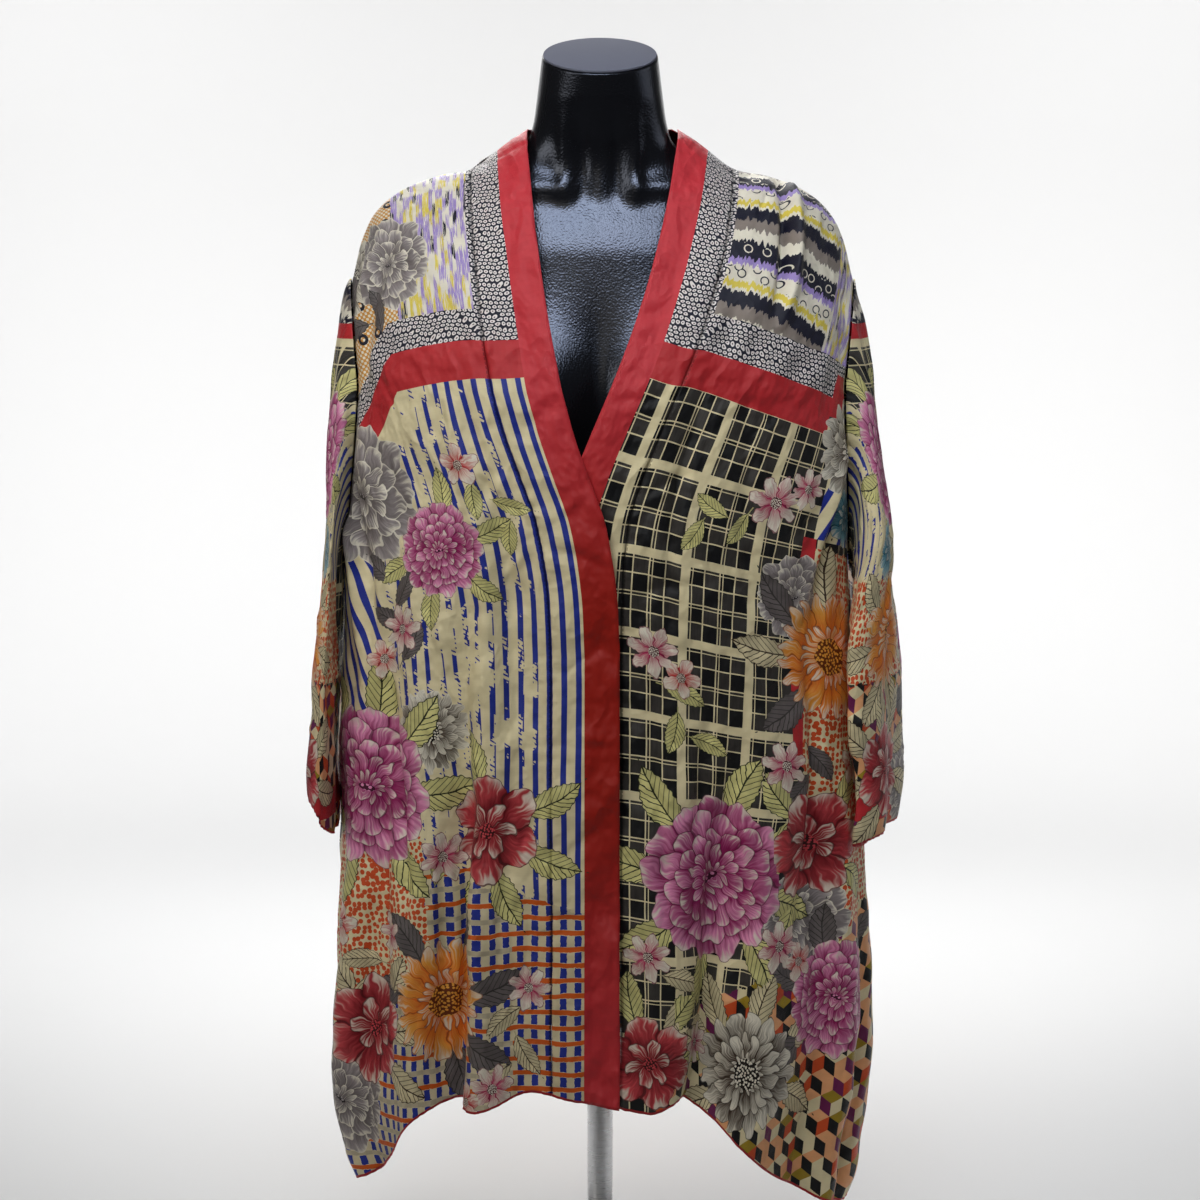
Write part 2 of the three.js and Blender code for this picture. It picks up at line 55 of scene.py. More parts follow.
# ---- camera, light and floor ----
shot = {"distance": 2.6, "elevation": 8, "target": 0.672, "lens": 81.25, "sensor": 36}
lamps = table(
    "name at to width depth spread watts colour",
    ("topBox", (-0.1, -1.21, 2.27), (0, -0.05, 1.0), 1.5, 0.5, 60, 3.7, (0.88, 0.94, 1)),
    ("keyBox", (-2.0, -1.5, 2.1), (0, 0, 0.95), 1.5, 1.5, 50, 2.2, (1, 0.95, 0.84)),
    ("frontBox", (-0.5, -2.6, 2.5), (0, 0, 0.8), 1.4, 1.4, 70, 0.7, (1, 0.84, 0.58)),
    ("sideBox", (2.5, 0.1, 1.9), (0, 0, 0.8), 1.6, 1.6, 70, 1.3, (0.95, 0.97, 1)),
    ("backBox", (-0.2, 1.9, 2.2), (0, 0, 0.8), 1.4, 1.4, 70, 5, (1, 0.99, 0.97)),
    ("paperLeft", (-2.0, 1.5, 2.2), (-0.3, 3.1, 0.5), 1.4, 1.4, 120, 38, (1, 1, 1)),
    ("paperRight", (2.0, 1.5, 2.2), (0.3, 3.1, 0.5), 1.4, 1.4, 120, 38, (1, 1, 1)),
    ("floorBox", (0, 1.7, 1.5), (0, 0.5, 0), 2.4, 0.6, 90, 9, (1, 1, 1)),
)
worldLight = 0.06
sweep = {"front": -9.0, "back": 3.4, "half": 9.0, "radius": 1.2, "height": 6.0, "steps": 16}


def addObject(name, data):
    item = bpy.data.objects.new(name, data)
    bpy.context.scene.collection.objects.link(item)
    return item


def meshFrom(bm, name):
    mesh = bpy.data.meshes.new(name)
    bm.to_mesh(mesh)
    bm.free()
    mesh.shade_smooth()
    return mesh


def aim(item, target):
    direction = Vector(target) - item.location
    item.rotation_euler = direction.to_track_quat("-Z", "Y").to_euler()


def makeCamera():
    data = bpy.data.cameras.new("camera")
    data.lens, data.sensor_width = shot["lens"], shot["sensor"]
    camera = addObject("camera", data)
    rise, away = np.radians(shot["elevation"]), shot["distance"]
    camera.location = (0, -away * np.cos(rise), shot["target"] + away * np.sin(rise))
    aim(camera, (0, 0, shot["target"]))
    bpy.context.scene.camera = camera


def makeLamps():
    for lamp in lamps:
        data = bpy.data.lights.new(lamp["name"], "AREA")
        data.shape = "RECTANGLE"
        data.size, data.size_y = lamp["width"], lamp["depth"]
        data.spread = np.radians(lamp["spread"])
        data.energy, data.color = lamp["watts"], lamp["colour"]
        item = addObject(lamp["name"], data)
        item.location = lamp["at"]
        item.visible_camera = False
        aim(item, lamp["to"])
    world = bpy.data.worlds.new("studio")
    world.use_nodes = True
    background = world.node_tree.nodes["Background"]
    background.inputs["Color"].default_value = (1, 1, 1, 1)
    background.inputs["Strength"].default_value = worldLight
    bpy.context.scene.world = world
    bpy.context.scene.view_settings.view_transform = "Standard"


# a floor that curves up into the backdrop
def makeSweep():
    back, radius, half = sweep["back"], sweep["radius"], sweep["half"]
    profile = [(sweep["front"], 0.0), (back - radius, 0.0)]
    for k in range(1, sweep["steps"] + 1):
        turn = np.radians(90 * k / sweep["steps"])
        profile.append((back - radius * (1 - np.sin(turn)), radius * (1 - np.cos(turn))))
    profile.append((back, sweep["height"]))
    bm = bmesh.new()
    line = [bm.verts.new((-half, y, z)) for y, z in profile]
    edges = [bm.edges.new(ends) for ends in zip(line, line[1:])]
    for made in bmesh.ops.extrude_edge_only(bm, edges=edges)["geom"]:
        if isinstance(made, bmesh.types.BMVert):
            made.co.x = half
    bmesh.ops.recalc_face_normals(bm, faces=bm.faces)
    mesh = meshFrom(bm, "floor")
    paper = bpy.data.materials.new("paper")
    paper.use_nodes = True
    shader = paper.node_tree.nodes["Principled BSDF"]
    shader.inputs["Base Color"].default_value = (0.64, 0.64, 0.64, 1)
    shader.inputs["Roughness"].default_value = 0.9
    mesh.materials.append(paper)
    floor = addObject("floor", mesh)


makeCamera()
makeLamps()
makeSweep()
print("camera, lamps and floor made")


# ---- small helpers ----
def mix(a, b, share):
    return a + (b - a) * share


def easeBetween(low, high, x):
    t = np.clip((x - low) / (high - low), 0, 1)
    return t * t * (3 - 2 * t)


def bell(x):
    return np.exp(-(x**2))


# a smooth curve through one column of a table, whose rows run up in key
def lookUp(rows, key, column, at):
    keys = np.array([row[key] for row in rows], float)
    values = np.array([row[column] for row in rows], float)
    last = len(rows) - 1
    before = np.maximum(np.arange(last + 1) - 1, 0)
    after = np.minimum(np.arange(last + 1) + 1, last)
    slopes = (values[after] - values[before]) / (keys[after] - keys[before])
    at = np.clip(at, keys[0], keys[-1])
    low = np.clip(np.searchsorted(keys, at, side="right") - 1, 0, last - 1)
    step = keys[low + 1] - keys[low]
    t = (at - keys[low]) / step
    rise = values[low + 1] - values[low]
    lead = step * slopes[low] - rise
    tail = rise - step * slopes[low + 1]
    return values[low] + rise * t + t * (1 - t) * mix(lead, tail, t)


def unit(vectors):
    return vectors / np.maximum(np.linalg.norm(vectors, axis=-1, keepdims=True), 1e-9)


def stack(*parts):
    return np.stack(np.broadcast_arrays(*parts), -1)


def choose(test, yes, no):
    return np.where(test[..., None], yes, no)


def heading(turn):
    return np.array([np.cos(np.radians(turn)), np.sin(np.radians(turn))])


# ---- the garment's form, the same as its solids ----
garment = {
    "seamGap": 0.3, "bandWidth": 63, "underlap": 5, "chestLevel": 880, "capShare": 0.27,
    "roundness": 2.3, "yokeSlope": 0.3, "shoulderY": 8, "shoulderEnd": 234, "slip": 5,
    "neckSide": 68, "bandFoot": 121, "neckBackY": 70, "neckBackZ": 1121, "neckOut": 0.42,
    "neckFall": 0.86, "neckCrown": 5, "underarmLevel": 705, "armholeSpread": 15, "armholeCap": 0.3,
    "gapRadius": 120, "hemRead": 150, "foldFoot": 150, "levelReach": {"right": 70, "left": 8},
    "lapAcross": (22, 70), "lapLevels": (800, 980),
}
seamGap, bandWidth = garment["seamGap"], garment["bandWidth"]
chestLevel, capShare = garment["chestLevel"], garment["capShare"]
shoulderY, shoulderEnd = garment["shoulderY"], garment["shoulderEnd"]
gapAngle = np.degrees(seamGap / 2 / garment["gapRadius"])
sideOf = {"right": -1, "left": 1}
edgeBow = {"right": 4, "left": 9}

bodySections = table(
    "z right left front back",
    (60, 214, 226, 128, 122), (105, 230, 246, 131, 125), (150, 250, 252, 134, 127),
    (215, 259, 265, 136, 128), (290, 257, 266, 135, 127), (370, 255, 259, 134, 127),
    (450, 250, 255, 134, 127), (560, 250, 246, 136, 125), (690, 243, 237, 140, 118),
    (790, 237, 236, 144, 114), (880, 232, 235, 141, 112),
)
shoulderLine = table(
    "x z",
    (68, 1118), (95, 1099), (121, 1081), (150, 1075), (185, 1062), (210, 1042), (225, 1014), (234, 978),
)
# height of the cut hem: 0 is the centre front, 90 the wearer's left side
hemLine = table(
    "angle z",
    (-180, 212), (-125, 196), (-108, 168), (-97, 134), (-86, 112), (-72, 116), (-60, 128), (-50, 150),
    (-38, 197), (-31, 211), (-23, 207), (-12, 225), (-3, 216), (8, 206), (16, 216), (28, 166),
    (40, 131), (54, 106), (70, 90), (84, 86), (95, 112), (108, 158), (125, 192), (180, 212),
)
edgeLines = {
    "right": table("z x", (640, 18), (700, 15), (760, 5), (800, -9), (840, -23), (880, -34)),
    "left": table("z x", (640, -44), (700, -43), (760, -37), (800, -25), (840, -9), (880, 8)),
}
# columns: top, where it is full, angle at the top, angle at the hem, width, depth, lean
folds = (
    (800, 420, -27, -31, 3.6, -24, 7), (780, 330, -21, -22, 7, 12, 0), (720, 260, -38, -42, 7, 13, 0),
    (860, 600, -46, -58, 5, -10, -3), (640, 230, -66, -68, 7, 15, 0), (560, 200, -80, -79, 4.5, -12, 0),
    (900, 690, -17, -13, 5, -6, 0), (640, 300, 30, 16, 3.6, -24, -7), (600, 260, 10, 8, 5, 7, 0),
    (700, 260, 36, 28, 8, 15, 0), (760, 330, 55, 46, 5, -11, 3), (560, 220, 64, 58, 6, 11, 0),
    (480, 180, 75, 72, 4, -13, 0), (820, 560, 22, 24, 6, -6, 0), (820, 340, 112, 106, 6, -14, 0),
    (760, 260, 124, 122, 8, 15, 0), (860, 380, 140, 137, 5, -17, 4), (700, 250, 156, 153, 8, 11, 0),
    (880, 420, 170, 172, 5, -13, 0), (680, 240, -166, -170, 8, 12, 0),
    (870, 360, -147, -152, 5, -17, -4), (740, 260, -131, -135, 8, 14, 0),
    (800, 300, -114, -116, 5, -15, 0),
)


def turnBell(angle, centre, width):
    return bell(((angle - centre + 540) % 360 - 180) / width)


# half the width or depth of a level section, by the side it is on
def halfAt(test, column, other, z):
    return np.where(test, lookUp(bodySections, "z", column, z), lookUp(bodySections, "z", other, z))


# a point of the outer cloth below the chest
def bodyPoint(angle, z):
    angle, z = np.broadcast_arrays(np.asarray(angle, float), np.asarray(z, float))
    c, s = heading(angle)
    halfWidth = halfAt(s < 0, "right", "left", z)
    halfDepth = halfAt(c > 0, "front", "back", z)
    power = 2 / garment["roundness"]
    x = halfWidth * np.sign(s) * np.abs(s) ** power
    y = -halfDepth * np.sign(c) * np.abs(c) ** power
    outward = unit(stack(x / halfWidth**2, y / halfDepth**2))
    out, along = np.zeros_like(x), np.zeros_like(x)
    for top, full, angleTop, angleHem, width, depth, lean in folds:
        reach = np.clip((z - garment["foldFoot"]) / (top - garment["foldFoot"]), 0, 1)
        share = (1 - easeBetween(full, top, z)) * turnBell(angle, mix(angleHem, angleTop, reach), width)
        out += share * depth
        along += share * lean
    ox, oy = outward[..., 0], outward[..., 1]
    return stack(x + ox * out - oy * along, y + oy * out + ox * along, z)


# the angle at which a level section has a given x on the front
def angleAt(x, z):
    share = np.clip(np.abs(x) / halfAt(x < 0, "right", "left", z), 0, 1)
    return np.sign(x) * np.degrees(np.arcsin(share ** (garment["roundness"] / 2)))


def armholeGape(z):
    t = np.clip((z - garment["underarmLevel"]) / (chestLevel - garment["underarmLevel"]), 0, 1)
    return garment["armholeSpread"] * np.sin(np.radians(t * 90)) ** 0.8


def shoulderPoint(side, x):
    moved = garment["slip"] if side > 0 else 0
    return stack(side * x + moved, shoulderY, lookUp(shoulderLine, "x", "z", x))


# the yoke's cloth between a point on the shoulder and the one below it at chest level
def yokePoint(top, base, share):
    rise = np.sin(np.radians(share * 90))
    fall = 1 - np.cos(np.radians(share * 90))
    return stack(
        mix(top[..., 0], base[..., 0], fall),
        mix(top[..., 1], base[..., 1], mix(rise, fall, garment["yokeSlope"])),
        mix(top[..., 2], base[..., 2], fall),
    )


# where a line this far in from the front edge meets the shoulder seam
def shoulderFoot(inset):
    return garment["neckSide"] + inset * (garment["bandFoot"] - garment["neckSide"]) / bandWidth


def frontLine(wearer, inset):
    side = sideOf[wearer]
    across = lambda z: lookUp(edgeLines[wearer], "z", "x", z) + side * inset
    bow = side * edgeBow[wearer]
    return {"shoulder": shoulderFoot(inset), "bow": bow, "angle": lambda z: angleAt(across(z), z)}


def sideLine(wearer):
    angle = lambda z: sideOf[wearer] * (90 - armholeGape(z) - gapAngle)
    return {"shoulder": shoulderEnd, "bow": 0, "angle": angle}


# the left front goes behind the right front at the centre
def layered(wearer, points):
    behind = 1 - easeBetween(*garment["lapAcross"], points[..., 0]) if wearer == "left" else 0
    level = 1 - easeBetween(*garment["lapLevels"], points[..., 2])
    points[..., 1] += garment["underlap"] * behind * level
    return points


# cloth that comes over the shoulder from its top edge and hangs to the hem; ground gives its angle
# at any level
def hang(top, ground, down, bow=0):
    level = np.full_like(down, chestLevel)
    share = np.minimum(down / capShare, 1)
    yoke = yokePoint(top, bodyPoint(ground(level), level), share)
    fall = 1 - np.cos(np.radians(share * 90))
    yoke[..., 0] += bow * 4 * fall * (1 - fall)
    hem = lookUp(hemLine, "angle", "z", ground(np.full_like(down, garment["hemRead"])))
    z = mix(chestLevel, hem, np.maximum(down - capShare, 0) / (1 - capShare))
    return choose(down < capShare, yoke, bodyPoint(ground(z), z))


# a strip between two lines of a front: across runs from one to the other, down to the hem
def frontPoint(wearer, start, end, across, down):
    ground = lambda z: mix(start["angle"](z), end["angle"](z), across)
    top = shoulderPoint(sideOf[wearer], mix(start["shoulder"], end["shoulder"], across))
    top[..., 1] -= seamGap / 2
    return layered(wearer, hang(top, ground, down, mix(start["bow"], end["bow"], across)))


# the top edge of the back: round the neck in the middle, along the shoulder outside it
def backTop(across, inset):
    across = np.asarray(across, float)
    side = np.where(across < 0, -1, 1)
    foot = shoulderFoot(inset)
    neckShare = foot / shoulderEnd
    out = np.abs(across)
    x = mix(foot, shoulderEnd, np.clip((out - neckShare) / (1 - neckShare), 0, 1))
    onShoulder = choose(side > 0, shoulderPoint(1, x), shoulderPoint(-1, x))
    onShoulder[..., 1] += seamGap / 2
    turn = np.radians(np.clip(out / neckShare, 0, 1) * 90)
    reach = garment["neckBackY"] + inset * garment["neckOut"] - shoulderY
    drop = garment["neckBackZ"] - inset * garment["neckFall"]
    end = lookUp(shoulderLine, "x", "z", foot)
    onNeck = stack(
        side * foot * np.sin(turn),
        shoulderY + seamGap / 2 + reach * np.cos(turn),
        mix(drop, end, np.sin(turn) ** 2),
    )
    return choose(out > neckShare, onShoulder, onNeck)


def backPoint(across, down, inset):
    wrapped = lambda angle: np.where(angle > 180, angle - 360, angle)
    ground = lambda z: wrapped(180 - across * (90 - armholeGape(z) - gapAngle))
    return hang(backTop(across, inset), ground, down)


def neckBandPoint(across, down):
    width = bandWidth - 2 * seamGap
    inner = backTop(across * garment["neckSide"] / shoulderEnd, 0)
    outer = backTop(across * shoulderFoot(width) / shoulderEnd, width)
    crown = garment["neckCrown"] * np.sin(np.pi * down) * np.cos(np.radians(across * 90))
    points = mix(inner, outer, down[..., None])
    points[..., 1] += 0.5 * crown
    points[..., 2] += crown
    return points


sleeveSections = {
    "right": table(
        "z inner outer front back",
        (430, 255, 271, 88, 92), (487, 254, 276, 92, 97), (520, 254, 273, 94, 100),
        (575, 254, 264, 95, 102), (650, 250, 260, 92, 103), (760, 243, 255, 80, 96),
        (870, 234, 252, 58, 76), (950, 228, 250, 34, 48), (985, 226, 238, 20, 34),
    ),
    "left": table(
        "z inner outer front back",
        (430, 262, 283, 88, 92), (487, 260, 290, 92, 97), (520, 258, 289, 94, 100),
        (575, 252, 286, 95, 102), (650, 246, 282, 92, 103), (760, 242, 270, 80, 96),
        (870, 236, 258, 58, 76), (950, 231, 247, 34, 48), (985, 229, 236, 20, 34),
    ),
}
cuffs = {"right": {"level": 477, "tilt": 29, "lean": 0}, "left": {"level": 451, "tilt": 10, "lean": 31}}
sleeve = {"y": 6, "flatness": 0.62, "rounding": 0.3, "leanBetween": (760, 610), "standOff": (1.4, 2.4)}
# folds down a sleeve: the angle round it (0 is its outer side, negative angles face front), width,
# depth, and where down the sleeve it starts and is full
sleeveFolds = (
    (-58, 13, 5, 0.2, 0.6), (-30, 11, -6, 0.15, 0.575), (6, 14, 5, 0.3, 0.65), (38, 11, -6, 0.2, 0.6),
    (66, 12, 4, 0.35, 0.675),
)


# the seam on the body that the sleeve is sewn to: 0 is the shoulder end, -1 and 1 the underarm
def armholePoint(wearer, around):
    side, reach, capPart = sideOf[wearer], np.abs(around), garment["armholeCap"]
    facing = np.where(around > 0, 1, -1)
    angle = lambda z: side * (90 + facing * armholeGape(z))
    top = shoulderPoint(side, np.full_like(around, shoulderEnd))
    level = np.full_like(around, chestLevel)
    cap = yokePoint(top, bodyPoint(angle(chestLevel), level), np.minimum(reach / capPart, 1))
    z = mix(chestLevel, garment["underarmLevel"], np.maximum(reach - capPart, 0) / (1 - capPart))
    return choose(reach < capPart, cap, bodyPoint(angle(z), z))


def sleevePoint(wearer, around, down):
    side, cuff = sideOf[wearer], cuffs[wearer]
    seam = armholePoint(wearer, around)
    turn = np.radians(around * 180)
    z = mix(seam[..., 2], cuff["level"] + cuff["tilt"] * np.cos(turn), down)
    at = lambda column: lookUp(sleeveSections[wearer], "z", column, z)
    middle, half = (at("inner") + at("outer")) / 2, (at("outer") - at("inner")) / 2
    reach = np.where(around < 0, at("front"), at("back"))
    crease = np.zeros_like(z)
    for centre, width, depth, begin, full in sleeveFolds:
        crease += depth * easeBetween(begin, full, down) * turnBell(around * 180, centre, width)
    flat = np.sign(np.cos(turn)) * np.abs(np.cos(turn)) ** sleeve["flatness"]
    # the front of the lower sleeve leans in over the body
    lean = cuff["lean"] * np.clip(-np.sin(turn), 0, 1) ** 2 * easeBetween(*sleeve["leanBetween"], z)
    tube = stack(side * (middle + (half + crease) * flat - lean), sleeve["y"] + reach * np.sin(turn), z)
    start = seam.copy()
    start[..., 0] += side * mix(*sleeve["standOff"], np.abs(around))
    away = 1 - (1 - np.clip(down / sleeve["rounding"], 0, 1)) ** 3
    return mix(start, tube, away[..., None])


# ---- fine relief of the cloth, added along its outward side ----
# Creases lie in cloth coordinates: s from the band's seam or the middle, t downwards. Each row is
# the s and t of its start and of its end, its width, its depth (a trough's is negative), and how
# far its middle bows sideways.
creases = {
    "right_front": (
        (24, 200, 34, 560, 7, -2.2, 6), (44, 230, 60, 520, 9, 1.8, 4), (70, 60, 150, 230, 9, -2.6, 10),
        (95, 70, 178, 210, 8, 2.2, 8), (150, 90, 215, 250, 7, -2.8, -8),
        (232, 150, 182, 470, 8, -3.4, -10), (246, 180, 206, 520, 9, 2.4, -8),
        (176, 470, 168, 760, 7, -3.0, 5), (120, 330, 96, 620, 8, -1.8, 8),
        (206, 560, 232, 850, 8, -2.6, -6), (36, 560, 60, 800, 6, -2.0, -5),
        (80, 640, 62, 870, 8, 2.0, 4), (8, 300, 60, 350, 5, -1.3, 3), (10, 372, 44, 410, 4, 1.1, -2),
        (6, 620, 34, 676, 4, -1.3, 3), (129, 650, 135, 910, 5, -2.4, 3),
        (117, 640, 122, 910, 8, 2.0, 3),
    ),
    "left_front": (
        (40, -30, 62, 150, 5, -4.2, 3), (52, -30, 76, 160, 6, 3.2, 3), (20, 210, 44, 480, 6, -2.2, 7),
        (66, 220, 128, 420, 9, -2.0, 8), (140, 90, 232, 210, 8, -2.6, 8),
        (168, 70, 252, 180, 8, 2.2, 8), (236, 170, 200, 440, 8, -3.4, -8),
        (222, 200, 182, 420, 8, 2.4, -6), (190, 430, 214, 740, 7, -3.2, 6),
        (90, 470, 74, 800, 8, -2.0, -6), (24, 520, 44, 760, 6, -1.8, 4),
        (128, 640, 150, 900, 8, -2.4, 6), (8, 330, 52, 300, 4, -1.4, 3), (8, 430, 60, 470, 5, -1.2, -3),
    ),
    "right_front_band": (
        (-62, 250, -4, 286, 5, -1.1, 3), (-58, 330, -10, 352, 4, 0.9, -2),
        (-60, 402, -2, 380, 5, -1.2, 3), (-54, 470, -8, 500, 4, -0.9, 2),
        (-62, 560, -20, 548, 5, 1.0, -3), (-50, 640, -4, 676, 5, -1.2, 3),
        (-46, 690, -40, 860, 6, -1.0, 3), (-60, 800, -14, 822, 5, 0.9, 2),
        (-30, 90, -34, 230, 7, -1.0, 2), (-66, 500, -30, 462, 9, -1.2, 3),
        (-66, 590, -32, 632, 9, 1.5, -3), (-66, 742, -30, 700, 9, -1.2, 3),
        (-66, 872, -28, 824, 10, -1.4, 4), (-66, 912, -30, 884, 8, 1.5, 0),
    ),
    "left_front_band": (
        (-60, 120, -6, 160, 5, -1.1, 3), (-44, 60, -40, 220, 7, -0.9, 3),
        (-58, 262, -4, 240, 5, -1.1, -2), (-30, 430, -2, 470, 4, -1.0, 2),
    ),
    "back": (
        (-60, 40, -150, 260, 9, -2.8, -10), (70, 50, 160, 250, 9, -2.8, 10),
        (-20, 120, -28, 480, 10, -2.2, 6), (34, 160, 44, 560, 10, -2.0, -6),
        (-110, 260, -90, 700, 9, -2.6, 8), (120, 300, 96, 760, 9, -2.4, -8),
        (-180, 420, -168, 860, 8, -2.8, 6), (190, 420, 176, 820, 8, -2.6, -6),
    ),
    "right_sleeve": (
        (-60, 120, -96, 420, 7, -2.2, 4), (-24, 60, -40, 300, 6, -1.8, 4),
        (50, 100, 76, 420, 8, -2.2, -4), (10, 240, 22, 520, 6, 1.8, 3),
    ),
    "left_sleeve": (
        (-66, 100, -92, 400, 7, -2.2, 4), (-20, 90, -36, 330, 6, -1.8, -4),
        (54, 120, 70, 440, 8, -2.2, 4), (14, 220, 4, 500, 6, 1.8, -3),
    ),
}
cloth = {
    "thickness": 0.8,
    "crease": 2.5,  # share of the depths in the table above
    "wrinkle": 2.0,  # depth of the fine silk creases
    "slanted": 1.4,  # depth of those that run aslant
    "wrinkleWidth": 0.16,
    "wave": 1.7,  # height of the slow undulation
    "waveLengths": (70, 190),
    "ripple": 0.595,  # height of the shorter waves
    "rippleLengths": (24, 60),
    "waves": 16,  # sines in one field of waves
    "pucker": 1.05,  # height of the puckers along a stitched line
    "puckerLength": 8.5,
    "puckerReach": 11,
    "seamDepth": 1.3,
    "seamWidth": 1.8,
    "calmEdge": 16,
    "roll": 0.7,  # height of the rolled hem
    "rollWidth": 2.6,
}


def creaseRelief(s, t, rows):
    relief = np.zeros_like(s)
    for s0, t0, s1, t1, width, depth, bow in rows:
        ds, dt = s1 - s0, t1 - t0
        length = np.hypot(ds, dt)
        inside = np.clip(((s - s0) * ds + (t - t0) * dt) / length**2, 0, 1)
        off = ((s - s0) * dt - (t - t0) * ds) / length - bow * 4 * inside * (1 - inside)
        relief += depth * np.sin(np.pi * inside) ** 0.7 * bell(off / width)
    return relief


# smooth uneven waves: many sines of random direction and length
def unevenWaves(s, t, seed, shortest, longest, stretch=1.0):
    random = np.random.default_rng(seed)
    total = np.zeros_like(s)
    for _ in range(cloth["waves"]):
        turn = random.uniform(0, np.pi)
        length = random.uniform(shortest, longest)
        phase = random.uniform(0, 2 * np.pi)
        total += np.sin(2 * np.pi * (s * np.cos(turn) + t * np.sin(turn) / stretch) / length + phase)
    return total / np.sqrt(cloth["waves"] / 2)


# narrow creases along the lines where slow waves cross zero
def silkCreases(s, t, seed):
    slow = unevenWaves(s, t, seed, 60, 170, stretch=1.9)
    patchy = easeBetween(-0.2, 1.4, unevenWaves(s, t, seed + 50, 90, 220))
    return -bell(slow / cloth["wrinkleWidth"]) * patchy


def puckers(fromSeam, along, seed):
    phase = along / cloth["puckerLength"] + 0.9 * np.sin(along / 31 + seed)
    phase = 2 * np.pi * (phase + 0.5 * np.sin(along / 13 + 2 * seed))
    strength = 0.45 + 0.55 * np.sin(along / 57 + seed) ** 2
    return np.sin(phase) * strength * np.exp(-np.abs(fromSeam) / cloth["puckerReach"])


def clothRelief(name, s, t, fromHem, seed, fromSeam=None):
    relief = cloth["crease"] * creaseRelief(s, t, creases[name])
    relief += cloth["wave"] * unevenWaves(s, t, seed, *cloth["waveLengths"], stretch=1.8)
    relief += cloth["ripple"] * unevenWaves(s, t, seed + 9, *cloth["rippleLengths"], stretch=1.6)
    relief += cloth["wrinkle"] * silkCreases(s, t, seed + 3)
    relief += cloth["slanted"] * silkCreases(s + 0.3 * t, t - 0.2 * s, seed + 7)
    if fromSeam is not None:
        relief += cloth["pucker"] * puckers(fromSeam, t, seed)
        relief -= cloth["seamDepth"] * bell(fromSeam / cloth["seamWidth"])
    relief += 0.8 * cloth["pucker"] * puckers(fromHem, s, seed + 1) * bell(fromHem / 14)
    return relief + cloth["roll"] * bell((fromHem - 1.2) / cloth["rollWidth"])


# no relief along the seams that two pieces share
def calmEdges(relief, *distances):
    for distance in distances:
        relief = relief * easeBetween(0, cloth["calmEdge"], np.abs(distance))
    return relief


# ---- meshes of cloth ----
def sample(surface, steps):
    across = np.linspace(0, 1, steps["across"] + 1)
    down = np.linspace(0, 1, steps["down"] + 1)
    return surface(*np.meshgrid(across, down))


def outwardSides(points, joined=False):
    alongA = np.gradient(points, axis=1)
    if joined:
        alongA[:, 0] = alongA[:, -1] = points[:, 1] - points[:, -2]
    alongD = np.gradient(points, axis=0)
    return unit(np.cross(alongD, alongA))


def arcAcross(points):
    steps = np.linalg.norm(np.diff(points, axis=1), axis=-1)
    return np.concatenate([np.zeros((len(points), 1)), np.cumsum(steps, axis=1)], axis=1)


# t above the chest continues the level rows below it by the length of the cloth
def climbAboveChest(points, t, down):
    chestRow = int(np.ceil(capShare * down))
    for row in range(chestRow - 1, -1, -1):
        t[row] = t[row + 1] - np.linalg.norm(points[row + 1] - points[row], axis=-1)
    return t


def newPiece(name, mesh):
    piece = addObject(name, mesh)
    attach(piece, "root")
    return piece


# a grid mesh laid on the points, with the cloth coordinates of each corner as arrays
def clothMesh(name, points, s, t, fromHem, joined=False):
    down, across = points.shape[0] - 1, points.shape[1] - 1
    bm = bmesh.new()
    bmesh.ops.create_grid(bm, x_segments=across, y_segments=down, size=0.5)
    mesh = meshFrom(bm, name)
    flat = np.empty(len(mesh.vertices) * 3)
    mesh.vertices.foreach_get("co", flat)
    column = np.rint((flat[0::3] + 0.5) * across).astype(int)
    row = np.rint((0.5 - flat[1::3]) * down).astype(int)
    mesh.vertices.foreach_set("co", (points[row, column] / 1000).ravel())
    corner = np.empty(len(mesh.loops), int)
    mesh.loops.foreach_get("vertex_index", corner)
    cornerS, cornerT = s[row, column][corner], t[row, column][corner]
    writeMap(mesh, "clothUV", cornerS / 1000, cornerT / 1000)
    edge = mesh.attributes.new("fromHem", "FLOAT", "POINT")
    edge.data.foreach_set("value", np.clip(fromHem[row, column], 0, 99).astype(np.float32))
    if joined:
        bm = bmesh.new()
        bm.from_mesh(mesh)
        ends = [v for v in bm.verts if v.is_boundary]
        bmesh.ops.remove_doubles(bm, verts=ends, dist=1e-6)
        bm.to_mesh(mesh)
        bm.free()
        cornerS, cornerT = [1000 * a for a in readMap(mesh, "clothUV")]
    return mesh, cornerS, cornerT


def writeMap(mesh, name, u, v):
    layer = mesh.uv_layers.new(name=name, do_init=False)
    layer.uv.foreach_set("vector", np.stack([u, v], -1).astype(np.float32).ravel())


def readMap(mesh, name):
    flat = np.empty(len(mesh.loops) * 2, np.float32)
    mesh.uv_layers[name].uv.foreach_get("vector", flat)
    return flat[0::2].astype(float), flat[1::2].astype(float)


# ---- the colours, and what each kind of flower and leaf looks like ----
def ink(*parts):
    parts = [part / 255 for part in parts]
    return tuple(c / 12.92 if c <= 0.04045 else ((c + 0.055) / 1.055) ** 2.4 for c in parts)


